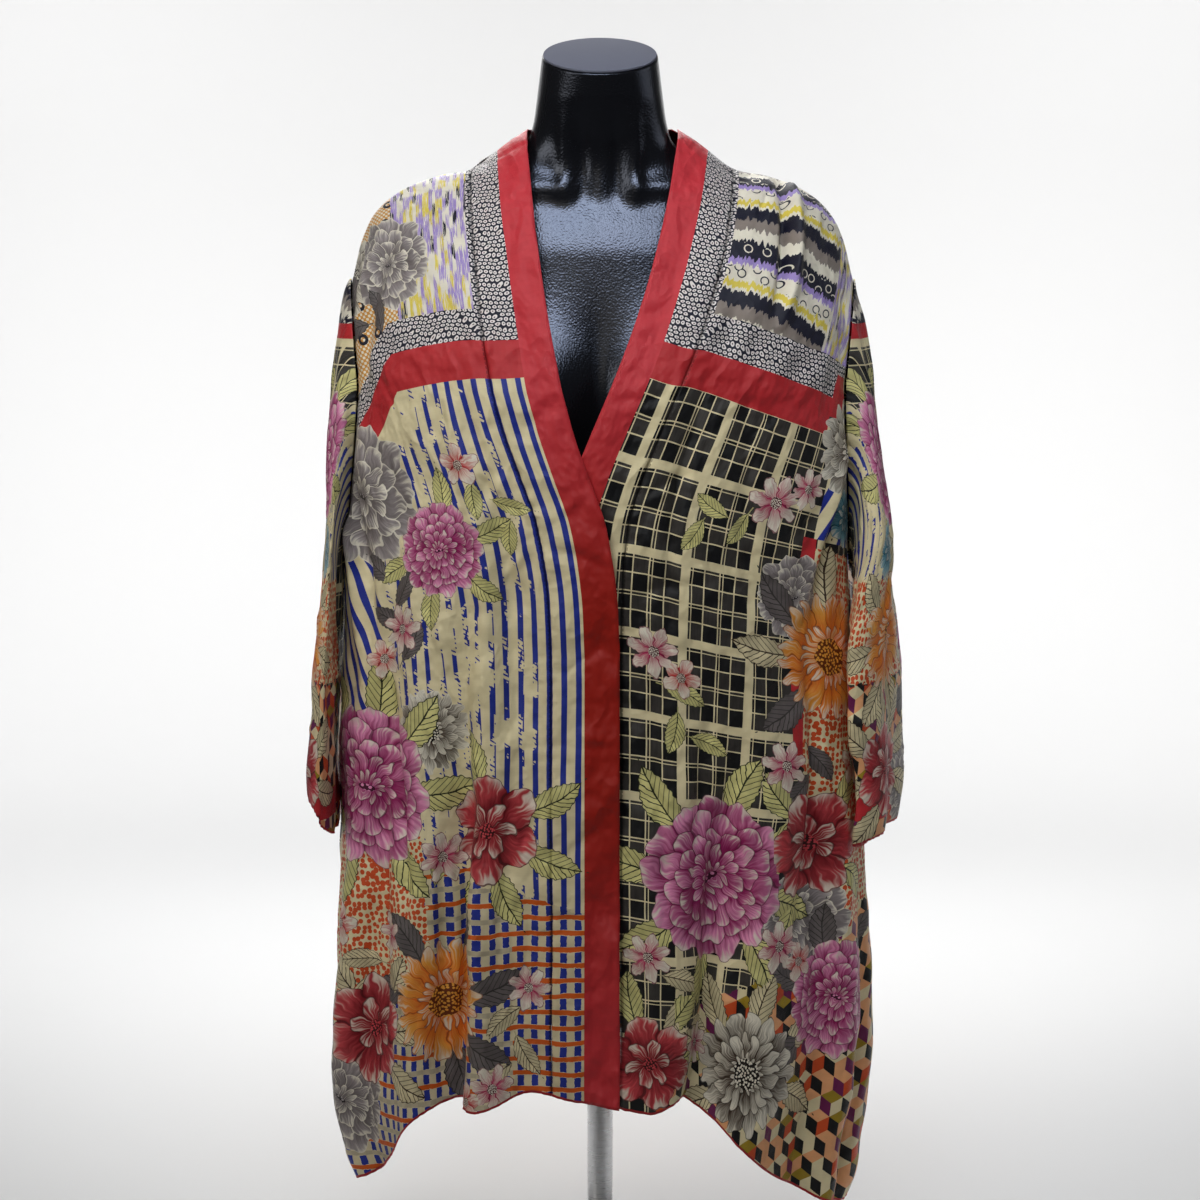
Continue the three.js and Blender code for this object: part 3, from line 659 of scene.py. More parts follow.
inkRows = (
    ("cream", 234, 219, 176), ("milk", 236, 228, 210), ("frost", 236, 228, 226),
    ("cobalt", 32, 48, 146), ("orange", 224, 104, 28), ("rust", 214, 92, 22), ("amber", 240, 168, 66),
    ("charcoal", 58, 54, 51), ("soot", 11, 11, 15), ("taupe", 142, 130, 122), ("red", 192, 42, 48),
    ("scarlet", 206, 52, 62), ("brick", 164, 25, 10), ("lavender", 166, 144, 208),
    ("maize", 230, 208, 84), ("navy", 19, 19, 40), ("magenta", 146, 20, 88), ("rose", 178, 30, 84),
    ("blush", 238, 150, 192), ("crimson", 122, 8, 24), ("salmon", 206, 70, 76), ("lime", 232, 224, 150),
    ("olive", 46, 48, 30), ("mustard", 164, 136, 34), ("coral", 212, 80, 34), ("plum", 108, 24, 80),
    ("teal", 40, 104, 124), ("sky", 138, 184, 196), ("peach", 240, 172, 120), ("ochre", 214, 152, 66),
    ("umber", 66, 48, 36), ("ash", 112, 103, 102), ("dove", 166, 156, 156),
)
inks = {name: ink(*parts) for name, *parts in inkRows}
# form is the petals in a ring, the rings and the size of the heart
looks = {
    "dahlia": {"form": (13, 5, 0.05), "deep": "magenta", "pale": "blush"},
    "marigold": {"form": (21, 2, 0.27), "deep": "orange", "pale": "amber"},
    "poppy": {"form": (6, 2, 0.14), "deep": "crimson", "pale": "salmon"},
    "aster": {"form": (17, 3, 0.24), "deep": "umber", "pale": "milk"},
    "shadowAster": {"form": (11, 4, 0.05), "deep": "ash", "pale": "dove"},
    "cosmos": {"form": (7, 1, 0.2), "deep": "rose", "pale": "milk"},
    "plumBlossom": {"form": (5, 1, 0.22), "deep": "red", "pale": "milk"},
    "cornflower": {"form": (9, 2, 0.18), "deep": "teal", "pale": "sky"},
    "spring": {"deep": "olive", "pale": "lime"},
    "winter": {"deep": "charcoal", "pale": "ash"},
    "dry": {"deep": "umber", "pale": "cream"},
}
# where leaves start under a bloom, how far apart they are on a stem, and how far they lean
leafing = {"under": 0.72, "twist": 9, "apart": 0.62, "lean": 42, "narrow": 1.8, "reach": 1.35, "away": 9}


# leaves that stand out from under a bloom, at the given compass turns
def wreath(bloom, turns, length, kind):
    made = []
    for turn in turns:
        s, t = np.array([bloom["s"], bloom["t"]]) + heading(turn) * bloom["radius"] * leafing["under"]
        made.append({"kind": kind, "s": s, "t": t, "length": length, "turn": turn + leafing["twist"]})
    return made


# leaves along a stem, to either side in turn
def spray(s, t, turn, length, count, kind):
    made = []
    for k in range(count):
        along = heading(turn) * length * leafing["apart"] * k
        lean = turn + (leafing["lean"] if k % 2 else -leafing["lean"])
        made.append({"kind": kind, "s": s + along[0], "t": t + along[1], "length": length, "turn": lean})
    return made


# how far each face is from a motif, in shares of the motif's size
def distanceTo(motif, faceS, faceT):
    if "radius" in motif:
        return np.hypot(faceS - motif["s"], faceT - motif["t"]) / motif["radius"]
    half = motif["length"] / 2
    away = heading(motif["turn"]) * half
    off = np.array([faceS - motif["s"] - away[0], faceT - motif["t"] - away[1]])
    along = off[0] * away[0] / half + off[1] * away[1] / half
    side = off[1] * away[0] / half - off[0] * away[1] / half
    return np.hypot(along / half, side / half * leafing["narrow"])


# gives every face the motif it belongs to and every corner its place in that motif
def placeMotifs(mesh, layer, cornerS, cornerT, motifs):
    starts, counts = np.empty((2, len(mesh.polygons)), int)
    mesh.polygons.foreach_get("loop_start", starts)
    mesh.polygons.foreach_get("loop_total", counts)
    faceOfCorner = np.repeat(np.arange(len(starts)), counts)
    faceS = np.add.reduceat(cornerS, starts) / counts
    faceT = np.add.reduceat(cornerT, starts) / counts
    best = np.full(len(starts), 1e9)
    mine = np.zeros(len(starts), int)
    for index, motif in enumerate(motifs):
        distance = distanceTo(motif, faceS, faceT)
        mine = np.where(distance < best, index, mine)
        best = np.minimum(best, distance)
    pick = lambda values: np.array(values)[mine][faceOfCorner]
    size = pick([motif.get("length") or motif["radius"] for motif in motifs])
    turn = pick([motif["turn"] for motif in motifs])
    ds = (cornerS - pick([motif["s"] for motif in motifs])) / size
    dt = (cornerT - pick([motif["t"] for motif in motifs])) / size
    c, s = heading(turn)
    far = (best > leafing["reach"])[faceOfCorner]
    u, v = ds * c + dt * s, dt * c - ds * s
    writeMap(mesh, layer + "UV", np.where(far, leafing["away"], u), np.where(far, leafing["away"], v))
    for key in ("form", "deep", "pale"):
        values = [looks[motif["kind"]].get(key, (0, 0, 0)) for motif in motifs]
        values = np.array([inks.get(value, value) for value in values], np.float32)
        attribute = mesh.attributes.new(layer + key.capitalize(), "FLOAT_VECTOR", "FACE")
        attribute.data.foreach_set("vector", values[mine].ravel())


# ---- material nodes: a Wire is one value in the tree, and arithmetic on it adds nodes ----
bench = {"tree": None}


def addNode(kind, inputs=(), **settings):
    node = bench["tree"].nodes.new(kind)
    for key, value in settings.items():
        setattr(node, key, value)
    for key, value in dict(inputs).items():
        feed(node.inputs[key], value)
    return node


# a value may be a Wire, a number, a colour or the name of an ink
def feed(socket, value):
    value = inks[value] if isinstance(value, str) else value
    if isinstance(value, Wire):
        bench["tree"].links.new(value.socket, socket)
    elif isinstance(value, tuple) and len(value) == 3 and socket.type == "RGBA":
        socket.default_value = (*value, 1)
    else:
        socket.default_value = value


def calc(kind, *values):
    return Wire(addNode("ShaderNodeMath", enumerate(values), operation=kind).outputs[0])


class Wire:
    def __init__(self, socket):
        self.socket = socket

    __add__ = __radd__ = lambda self, other: calc("ADD", self, other)
    __sub__ = lambda self, other: calc("SUBTRACT", self, other)
    __rsub__ = lambda self, other: calc("SUBTRACT", other, self)
    __mul__ = __rmul__ = lambda self, other: calc("MULTIPLY", self, other)
    __truediv__ = lambda self, other: calc("DIVIDE", self, other)
    __lt__ = lambda self, other: calc("LESS_THAN", self, other)
    __gt__ = lambda self, other: calc("GREATER_THAN", self, other)


def floorOf(x):
    return calc("FLOOR", x)


def partOf(x, whole=1.0):
    return calc("FLOORED_MODULO", x, whole)


def near(x, middle, reach):
    return calc("COMPARE", x, middle, reach)


def either(a, b):
    return calc("MAXIMUM", a, b)


def inBox(s, t, left, right, top, bottom):
    across = near(s, (left + right) / 2, (right - left) / 2)
    return across * near(t, (top + bottom) / 2, (bottom - top) / 2)


def smooth(x, low, high):
    inputs = {"Value": x, "From Min": low, "From Max": high}
    return Wire(addNode("ShaderNodeMapRange", inputs, interpolation_type="SMOOTHSTEP").outputs[0])


def paint(mask, under, over):
    node = addNode("ShaderNodeMix", data_type="RGBA")
    for index, value in ((0, mask), (6, under), (7, over)):
        feed(node.inputs[index], value)
    return Wire(node.outputs[2])


def pair(x, y, z=0.0):
    return Wire(addNode("ShaderNodeCombineXYZ", {"X": x, "Y": y, "Z": z}).outputs[0])


def cloudy(vector, scale, detail=1.0, dimensions="2D"):
    inputs = {"Vector": vector, "Scale": scale, "Detail": detail}
    return Wire(addNode("ShaderNodeTexNoise", inputs, noise_dimensions=dimensions).outputs[0])


# flat noise with its own scale across and down
def haze(s, t, across, down, detail=1.0):
    return cloudy(pair(s * across, t * down), 1.0, detail)


def chance(vector):
    return Wire(addNode("ShaderNodeTexWhiteNoise", {"Vector": vector}, noise_dimensions="3D").outputs[0])


def pebbles(vector, scale, randomness):
    inputs = {"Vector": vector, "Scale": scale, "Randomness": randomness}
    return Wire(addNode("ShaderNodeTexVoronoi", inputs, voronoi_dimensions="2D").outputs["Distance"])


# colours that change in steps as x goes from 0 to 1
def stepColours(x, *stops):
    node = addNode("ShaderNodeValToRGB", {"Fac": x})
    ramp = node.color_ramp
    ramp.interpolation = "CONSTANT"
    while len(ramp.elements) < len(stops):
        ramp.elements.new(0.5)
    for element, (place, colour) in zip(ramp.elements, stops):
        element.position = place
        element.color = (*inks[colour], 1)
    return Wire(node.outputs[0])


def threeOf(vector):
    return [Wire(socket) for socket in addNode("ShaderNodeSeparateXYZ", {0: vector}).outputs]


def mapOf(name):
    return threeOf(Wire(addNode("ShaderNodeUVMap", uv_map=name).outputs[0]))[:2]


def attributeOf(name, output="Color"):
    return Wire(addNode("ShaderNodeAttribute", attribute_name=name).outputs[output])


# ---- the patterns of the patches, in millimetres of cloth ----
def stripes(s, t, period=13.4, width=5.4):
    return partOf(s + haze(s, t, 0.02, 0.01) * 2.4, period) < width


# stripes with brushed-out cream clearings edged by short strokes, whole again beside the band
def brushedStripes(s, t, amount=0.79):
    clearing = haze(s, t, 0.012, 0.008) * 0.5
    brush = cloudy(pair(s * 0.11 + t * 0.03, t * 0.07 - s * 0.04), 1.0) * 0.5
    dashes = cloudy(pair(floorOf(s / 13.4) * 3.7, t * 0.03), 1.0, 0.0) * 0.6
    whole = smooth(s, 16, 0) + smooth(s, 206, 240)
    bare = clearing + brush + dashes + smooth(s, 20, 150) * 0.08 - whole
    stroke = (partOf(t + s * 0.7, 4.6) < 1.7) * near(bare, amount + 0.035, 0.035)
    shown = stripes(s, t) * either(bare < amount, stroke)
    return paint(shown, "cream", "cobalt")


def slantedStripes(s, t):
    return paint(stripes(s * 0.94 + t * 0.34, t - s * 0.3, 16.0, 6.4), "cream", "cobalt")


def windowCheck(s, t):
    wide, tall, broad = 15.0, 17.4, 7.2
    ds, dt = partOf(s, 4 * wide + broad), partOf(t, 4 * tall + broad)
    fs, ft = (ds - broad) / wide, (dt - broad) / tall
    parity = partOf(floorOf(fs) + floorOf(ft), 2.0)
    colour = paint(parity * (0.45 + haze(s, t, 0.5, 0.06, 2.0)), "soot", "charcoal")
    wobble = haze(s, t, 0.05, 0.05) * 0.06
    thin = either(partOf(fs + wobble) < 0.085, partOf(ft + wobble) < 0.075)
    double = either(near(partOf(fs, 2.0), 0.22, 0.03), near(partOf(ft, 2.0), 0.2, 0.026))
    lines = either(either(thin, double), either(ds < broad, dt < broad))
    return paint(lines, colour, "cream")


# blue squares in rows, parted by orange and grey bars; beside the band every bar is orange
def gingham(s, t):
    sway = t + 4.0 * haze(s, t, 0.03, 0.03)
    place = partOf(sway, 14.8)
    ragged = haze(s, t, 0.3, 0.3) * 1.4
    column = partOf(s + ragged, 13.8)
    colour = paint(near(column, 10.4, 3.4) * 0.22, "cream", "taupe")
    colour = paint((column < 6.4) * near(place + ragged, 10.4, 4.8), colour, "cobalt")
    bar = place + ragged < 5.2
    colour = paint(bar * 0.5, colour, "taupe")
    return paint(bar * either(partOf(sway, 29.6) < 14.8, s < 38), colour, "rust")


# rhombs in threes: every second line of a triangle grid is left out, so that each hexagon is a block
def tumblingBlocks(s, t):
    across, up = s / 11.0, t / 6.6
    left, right, column = floorOf((up - across) * 0.5), floorOf((up + across) * 0.5), floorOf(across)
    third = partOf(left + right, 3.0)
    side = third + (column > right - left - 0.5)
    top = third < 0.5
    second = near(side, 2, 0.2) * (1 - top)
    face = second + (1 - top - second) * 2
    one = chance(pair(left * (top + second), right * (1 - second), face + column * (1 - top) * 7))
    return stepColours(
        (face + one) / 3, (0, "cream"), (0.1, "mustard"), (0.2, "peach"), (0.333, "soot"),
        (0.47, "plum"), (0.58, "soot"), (0.667, "cream"), (0.82, "peach"), (0.92, "coral"),
    )


def coralSpots(s, t):
    bend = haze(s, t, 0.03, 0.03) * 4
    spot = pebbles(pair((s + bend) * 0.19, t * 0.16), 1.0, 0.62)
    size = 0.25 + 0.32 * haze(s, t, 0.02, 0.015)
    return paint(spot < size, "cream", "coral")


def honeyDots(s, t):
    wave = calc("SINE", s * 1.15) * calc("SINE", t * 1.15)
    colour = paint(wave > 0.1, "ochre", "milk")
    mark = pebbles(pair(s * 0.038, t * 0.038), 1.0, 0.35)
    return paint(near(mark, 0.15, 0.06), colour, "navy")


def lattice(s, t):
    sway = haze(s, t, 0.07, 0.07) * 7
    rows = (t + sway) / 4.3
    row = floorOf(rows)
    across = partOf((s + sway) / 5.2 + row * 0.5) - 0.5
    up = rows - row - 0.5
    away = across * across + up * up
    colour = paint(away < 0.155, "navy", "frost")
    return paint(away < 0.022, colour, "ash")


# short upright flames in rows, as in yarn dyed before it is woven
def ikat(s, t):
    fray = haze(s, t, 1.2, 0.05, 2.0) * 22
    column = floorOf(s / 3.4)
    row = floorOf((t + fray + chance(pair(column, 2.0)) * 13) / 15)
    drift = haze(column, row, 0.16, 0.42) * 1.5 - 0.25
    pick = drift * 0.62 + chance(pair(column, row)) * 0.38
    colour = stepColours(
        pick, (0, "navy"), (0.27, "lavender"), (0.44, "milk"), (0.56, "maize"), (0.68, "lavender"),
        (0.82, "navy"),
    )
    return paint(haze(s, t, 1.6, 0.07) > 0.6, colour, "milk")


# level bands with torn edges
def tornBands(s, t, period=92.0):
    tooth = haze(s, t, 0.32, 0.01, 2.0) * 15
    place = partOf((t + tooth + calc("SINE", s * 0.035) * 5) / period)
    colour = stepColours(
        place, (0, "navy"), (0.2, "lavender"), (0.27, "milk"), (0.45, "maize"), (0.52, "milk"),
        (0.56, "navy"), (0.72, "taupe"), (0.86, "milk"),
    )
    mark = near(pebbles(pair(s * 0.07, t * 0.07), 1.0, 0.8), 0.27, 0.045)
    colour = paint(mark * near(place, 0.1, 0.06), colour, "milk")
    return paint(mark * near(place, 0.36, 0.07), colour, "navy")


# ---- the printed flowers ----
def paintBloom(under, layer, lines=None):
    u, v = mapOf(layer + "UV")
    petals, rings, heart = threeOf(attributeOf(layer + "Form", "Vector"))
    deep, pale = attributeOf(layer + "Deep"), attributeOf(layer + "Pale")
    ruffle = cloudy(pair(u, v), 2.7, 1.5) - 0.5
    flutter = cloudy(pair(v, u), 3.3, 1.0) - 0.5
    du, dv = u + ruffle * 0.24, v + flutter * 0.24
    reach = calc("SQRT", du * du + dv * dv)
    place = reach * rings
    around = calc("ARCTAN2", dv, du) * (petals / 6.28319)
    row = floorOf(place)
    rise = place - row
    first = partOf(around + row * 0.5) * 2 - 1
    second = partOf(around + row * 0.5 + 0.5) * 2 - 1
    edge = 1 - first * first * 0.52
    onFirst = rise < edge
    x = second + (first - second) * onFirst
    ring = row + 1 - onFirst
    mask = ring < rings - 0.5
    along = (rise + onFirst) * 0.5
    one = chance(pair(floorOf(around + ring * 0.5), ring))
    streak = cloudy(pair(x * 4.2 + one * 37, along * 1.3), 1.0, 2.0)
    side = x * x
    glow = smooth(along + streak * 0.9, 0.5, 1.4) * (0.4 + one * 0.85) - side * side * 0.35
    colour = paint(glow - smooth(reach, 0.75, 0.1) * 0.3, deep, pale)
    colour = paint(smooth(along + streak * 0.8, 1.12, 1.42) * 0.85, colour, "milk")
    veins = calc("SINE", x * 21 + ruffle * 12) > 0.5
    colour = paint(veins * (1.1 - along) * 0.6, colour, deep)
    colour = paint(smooth(along, 0.42, 0.05) * 0.6, colour, shade(deep, 0.45))
    seam = either(side > 0.88, near(rise, edge, 0.04))
    colour = paint(seam * 0.8, colour, lines or shade(deep, 0.4))
    eye = paint(pebbles(pair(u, v), 19.0, 0.9) < 0.36, shade(deep, 0.2), pale)
    return paint(mask, under, paint(reach < heart, colour, eye))


def shade(colour, share):
    node = addNode("ShaderNodeVectorMath", {0: colour}, operation="SCALE")
    node.inputs["Scale"].default_value = share
    return Wire(node.outputs[0])


def paintLeaf(under):
    u, v = mapOf("leafUV")
    deep, pale = attributeOf("leafDeep"), attributeOf("leafPale")
    waver = cloudy(pair(u, v), 6.0, 2.0) - 0.5
    bend = v + calc("SINE", u * 3.1) * 0.06 + waver * 0.03
    away = calc("ABSOLUTE", bend)
    bulge = either(u * (1 - u) * 4, 0.0)
    half = calc("POWER", bulge, 0.8) * 0.23 + calc("SINE", u * 58) * 0.01
    mask = away < half
    rib = calc("PINGPONG", (u - away * 1.25 + waver * 0.05) * 9, 0.5)
    colour = paint(away / half * 0.3 + waver, pale, shade(pale, 0.45))
    colour = paint(rib < 0.09, colour, deep)
    colour = paint((bend > 0) * 0.35, colour, shade(pale, 0.5))
    colour = paint(either(away < 0.011, away > half - 0.014), colour, deep)
    stem = (away < 0.014) * near(u, -0.12, 0.16)
    colour = paint(stem, colour, shade(pale, 0.6))
    return paint(either(mask, stem), under, colour)


# ---- finishes ----
silk = {
    "roughness": (0.36, 0.16), "specular": 0.3, "sheen": 0.03, "sheenRoughness": 0.4,
    "crinkle": 0.0045, "crinkleStrength": 0.9, "hemLine": 2.4,
}
# the two level ranges after plain: where the band's painted sheen gives way to painted shade, and where
# that painted shade eases again
sash = {"plain": 31, "paintedSheenFade": (210, 460), "paintedShadeEase": (620, 860), "stitch": 4.2, "stitchLength": 2.9}


def startMaterial(name):
    material = bpy.data.materials.new(name)
    material.use_nodes = True
    bench["tree"] = material.node_tree
    material.node_tree.nodes.clear()
    output = addNode("ShaderNodeOutputMaterial")
    shader = addNode("ShaderNodeBsdfPrincipled")
    bench["tree"].links.new(shader.outputs[0], output.inputs[0])
    return material, shader


def bump(shader, height, distance, strength):
    node = addNode("ShaderNodeBump", {"Height": height, "Distance": distance, "Strength": strength})
    bench["tree"].links.new(node.outputs[0], shader.inputs["Normal"])


# silk; the ground is a function that paints the patches from s and t
def silkMaterial(name, ground, printed=True):
    material, shader = startMaterial(name)
    u, v = mapOf("clothUV")
    s, t = u * 1000, v * 1000
    colour = ground(s, t)
    if printed:
        colour = paintLeaf(paintBloom(colour, "ghost", "milk"))
        colour = paintBloom(paintBloom(colour, "bloom"), "bud")
        colour = paint(attributeOf("fromHem", "Fac") < silk["hemLine"], colour, "red")
    slub, mottle = haze(s, t, 0.05, 1.1, 2.0), haze(s, t, 0.11, 0.09, 2.0)
    colour = paint(slub * 0.16 + mottle * 0.2, colour, shade(colour, 0.5))
    feed(shader.inputs["Base Color"], colour)
    feed(shader.inputs["Roughness"], slub * silk["roughness"][1] + silk["roughness"][0])
    shader.inputs["Specular IOR Level"].default_value = silk["specular"]
    shader.inputs["Sheen Weight"].default_value = silk["sheen"]
    shader.inputs["Sheen Roughness"].default_value = silk["sheenRoughness"]
    soft = haze(s, t, 0.05, 0.036, 2.0)
    sharp = calc("ABSOLUTE", cloudy(pair(s * 0.028 + 7, t * 0.02), 1.0, 2.0) - 0.5)
    thread = calc("SINE", s * 7.2) * calc("SINE", t * 7.2)
    bump(shader, soft - sharp * 1.6 + thread * 0.014, silk["crinkle"], silk["crinkleStrength"])
    return material


# painted light: the red is rosy scarlet high on the band as painted sheen, a darker brick red lower down
# as painted shade, and mostly scarlet again near the hem
def sashRedWithPaintedLight(t):
    paintedShadeShare = smooth(t, *sash["paintedSheenFade"]) - smooth(t, *sash["paintedShadeEase"]) * 0.7
    return paint(paintedShadeShare, "scarlet", "brick")


# the plain red strip along the front edge, with painted sheen making it rosy above and painted shade
# making it a darker brick red lower down, and the stitched seam inside it, whose line is darkened with
# painted shade
def withBand(s, t, colour):
    colour = paint(s < -sash["plain"], colour, sashRedWithPaintedLight(t))
    stitch = near(s, 1.7, 0.5) * (partOf(t, sash["stitch"]) < sash["stitchLength"])
    # painted shade: a thin line along the seam is darkened, more strongly lower down, for the shade in
    # its groove; the stitches beside it are darkened the same way
    seam = near(s, 0.3, 0.8) * (smooth(t, 180, 360) * 0.4 + 0.4)
    return paint(either(seam, stitch * 0.6), colour, shade(colour, 0.12))


def frayOf(s, t):
    return haze(s, t, 0.12, 0.12, 2.0) * 12 - 6


def rightFrontGround(s, t):
    fray = frayOf(s, t)
    colour = brushedStripes(s, t)
    colour = paint(inBox(s, t, 172, 420, 236, 540), colour, slantedStripes(s, t))
    colour = paint(t + fray + s * 0.3 > 712, colour, gingham(s, t))
    colour = paint(inBox(s + fray, t - fray, 150, 420, 640, 800), colour, coralSpots(s, t))
    bent = t - either(s - 96, 0.0) * 0.85
    shoulder = paint(inBox(s, t, 5, 82, -200, 160), lattice(s, t), ikat(s, t))
    shoulder = paint(inBox(s, t + fray * 0.2, 82, 420, -200, 66), shoulder, tornBands(s, t, 74.0))
    shoulder = paint(inBox(s + fray * 0.3, bent, 82, 420, -40, 160), shoulder, honeyDots(s, t))
    colour = paint(bent < 190, colour, shoulder)
    return withBand(s, t, paint(near(bent, 208, 18), colour, "red"))


def leftFrontGround(s, t):
    fray = frayOf(s, t)
    colour = windowCheck(s + 14, t + 9)
    colour = paint(inBox(s + fray, t - fray, 184, 420, 340, 770), colour, coralSpots(s, t))
    colour = paint(inBox(s, t, 184, 420, 214, 330), colour, slantedStripes(s, t))
    colour = paint(inBox(s, t, 172, 186, 330, 560), colour, "red")
    colour = paint((t + fray + s * 0.5 > 860) * (s > 34), colour, tumblingBlocks(s, t))
    shoulder = paint(inBox(s, t + fray * 0.2, 5, 126, -200, 160), lattice(s, t), tornBands(s, t))
    shoulder = paint(inBox(s + fray * 0.3, t, 126, 420, 30, 160), shoulder, ikat(s, t))
    shoulder = paint(inBox(s + fray * 0.3, t, 126, 420, -200, 30), shoulder, honeyDots(s, t))
    colour = paint(t < 196, colour, shoulder)
    sashes = either(inBox(s, t, -70, 166, 196, 232), inBox(s, t, 166, 420, 172, 214))
    return withBand(s, t, paint(sashes, colour, "red"))


def backGround(s, t):
    fray = frayOf(s, t)
    colour = paint(s < -18, windowCheck(s, t), brushedStripes(s, t))
    colour = paint(inBox(s + fray, t - fray, -420, -150, 330, 620), colour, coralSpots(s, t))
    colour = paint(inBox(s, t, -26, -10, 226, 700), colour, "red")
    colour = paint((t + fray > 700) * (s < 60), colour, gingham(s, t))
    colour = paint((t + fray > 760) * (s > 60), colour, tumblingBlocks(s, t))
    shoulder = paint(near(s, 0, 90), tornBands(s, t), ikat(s, t))
    shoulder = paint(near(calc("ABSOLUTE", s), 90, 5), shoulder, lattice(s, t))
    shoulder = paint(near(t, 182, 9), shoulder, lattice(s, t))
    colour = paint(t < 190, colour, shoulder)
    return paint(inBox(s, t, -420, 420, 190, 226), colour, "red")


def sleeveGround(s, t):
    fray = frayOf(s, t)
    brushed = brushedStripes(s + 190, t, 0.6)
    colour = paint(inBox(s + fray, t - fray, -230, 230, 142, 300), windowCheck(s, t), brushed)
    colour = paint(inBox(s, t - fray, -230, 230, 300, 396), colour, coralSpots(s, t))
    colour = paint(t + fray > 396, colour, tumblingBlocks(s, t))
    colour = paint(t < 64, colour, tornBands(s, t, 60.0))
    return paint(either(near(t, 512, 14), near(t, 70, 7)), colour, "red")


def neckGround(s, t):
    return paint(s < -sash["plain"], lattice(s, t), "red")


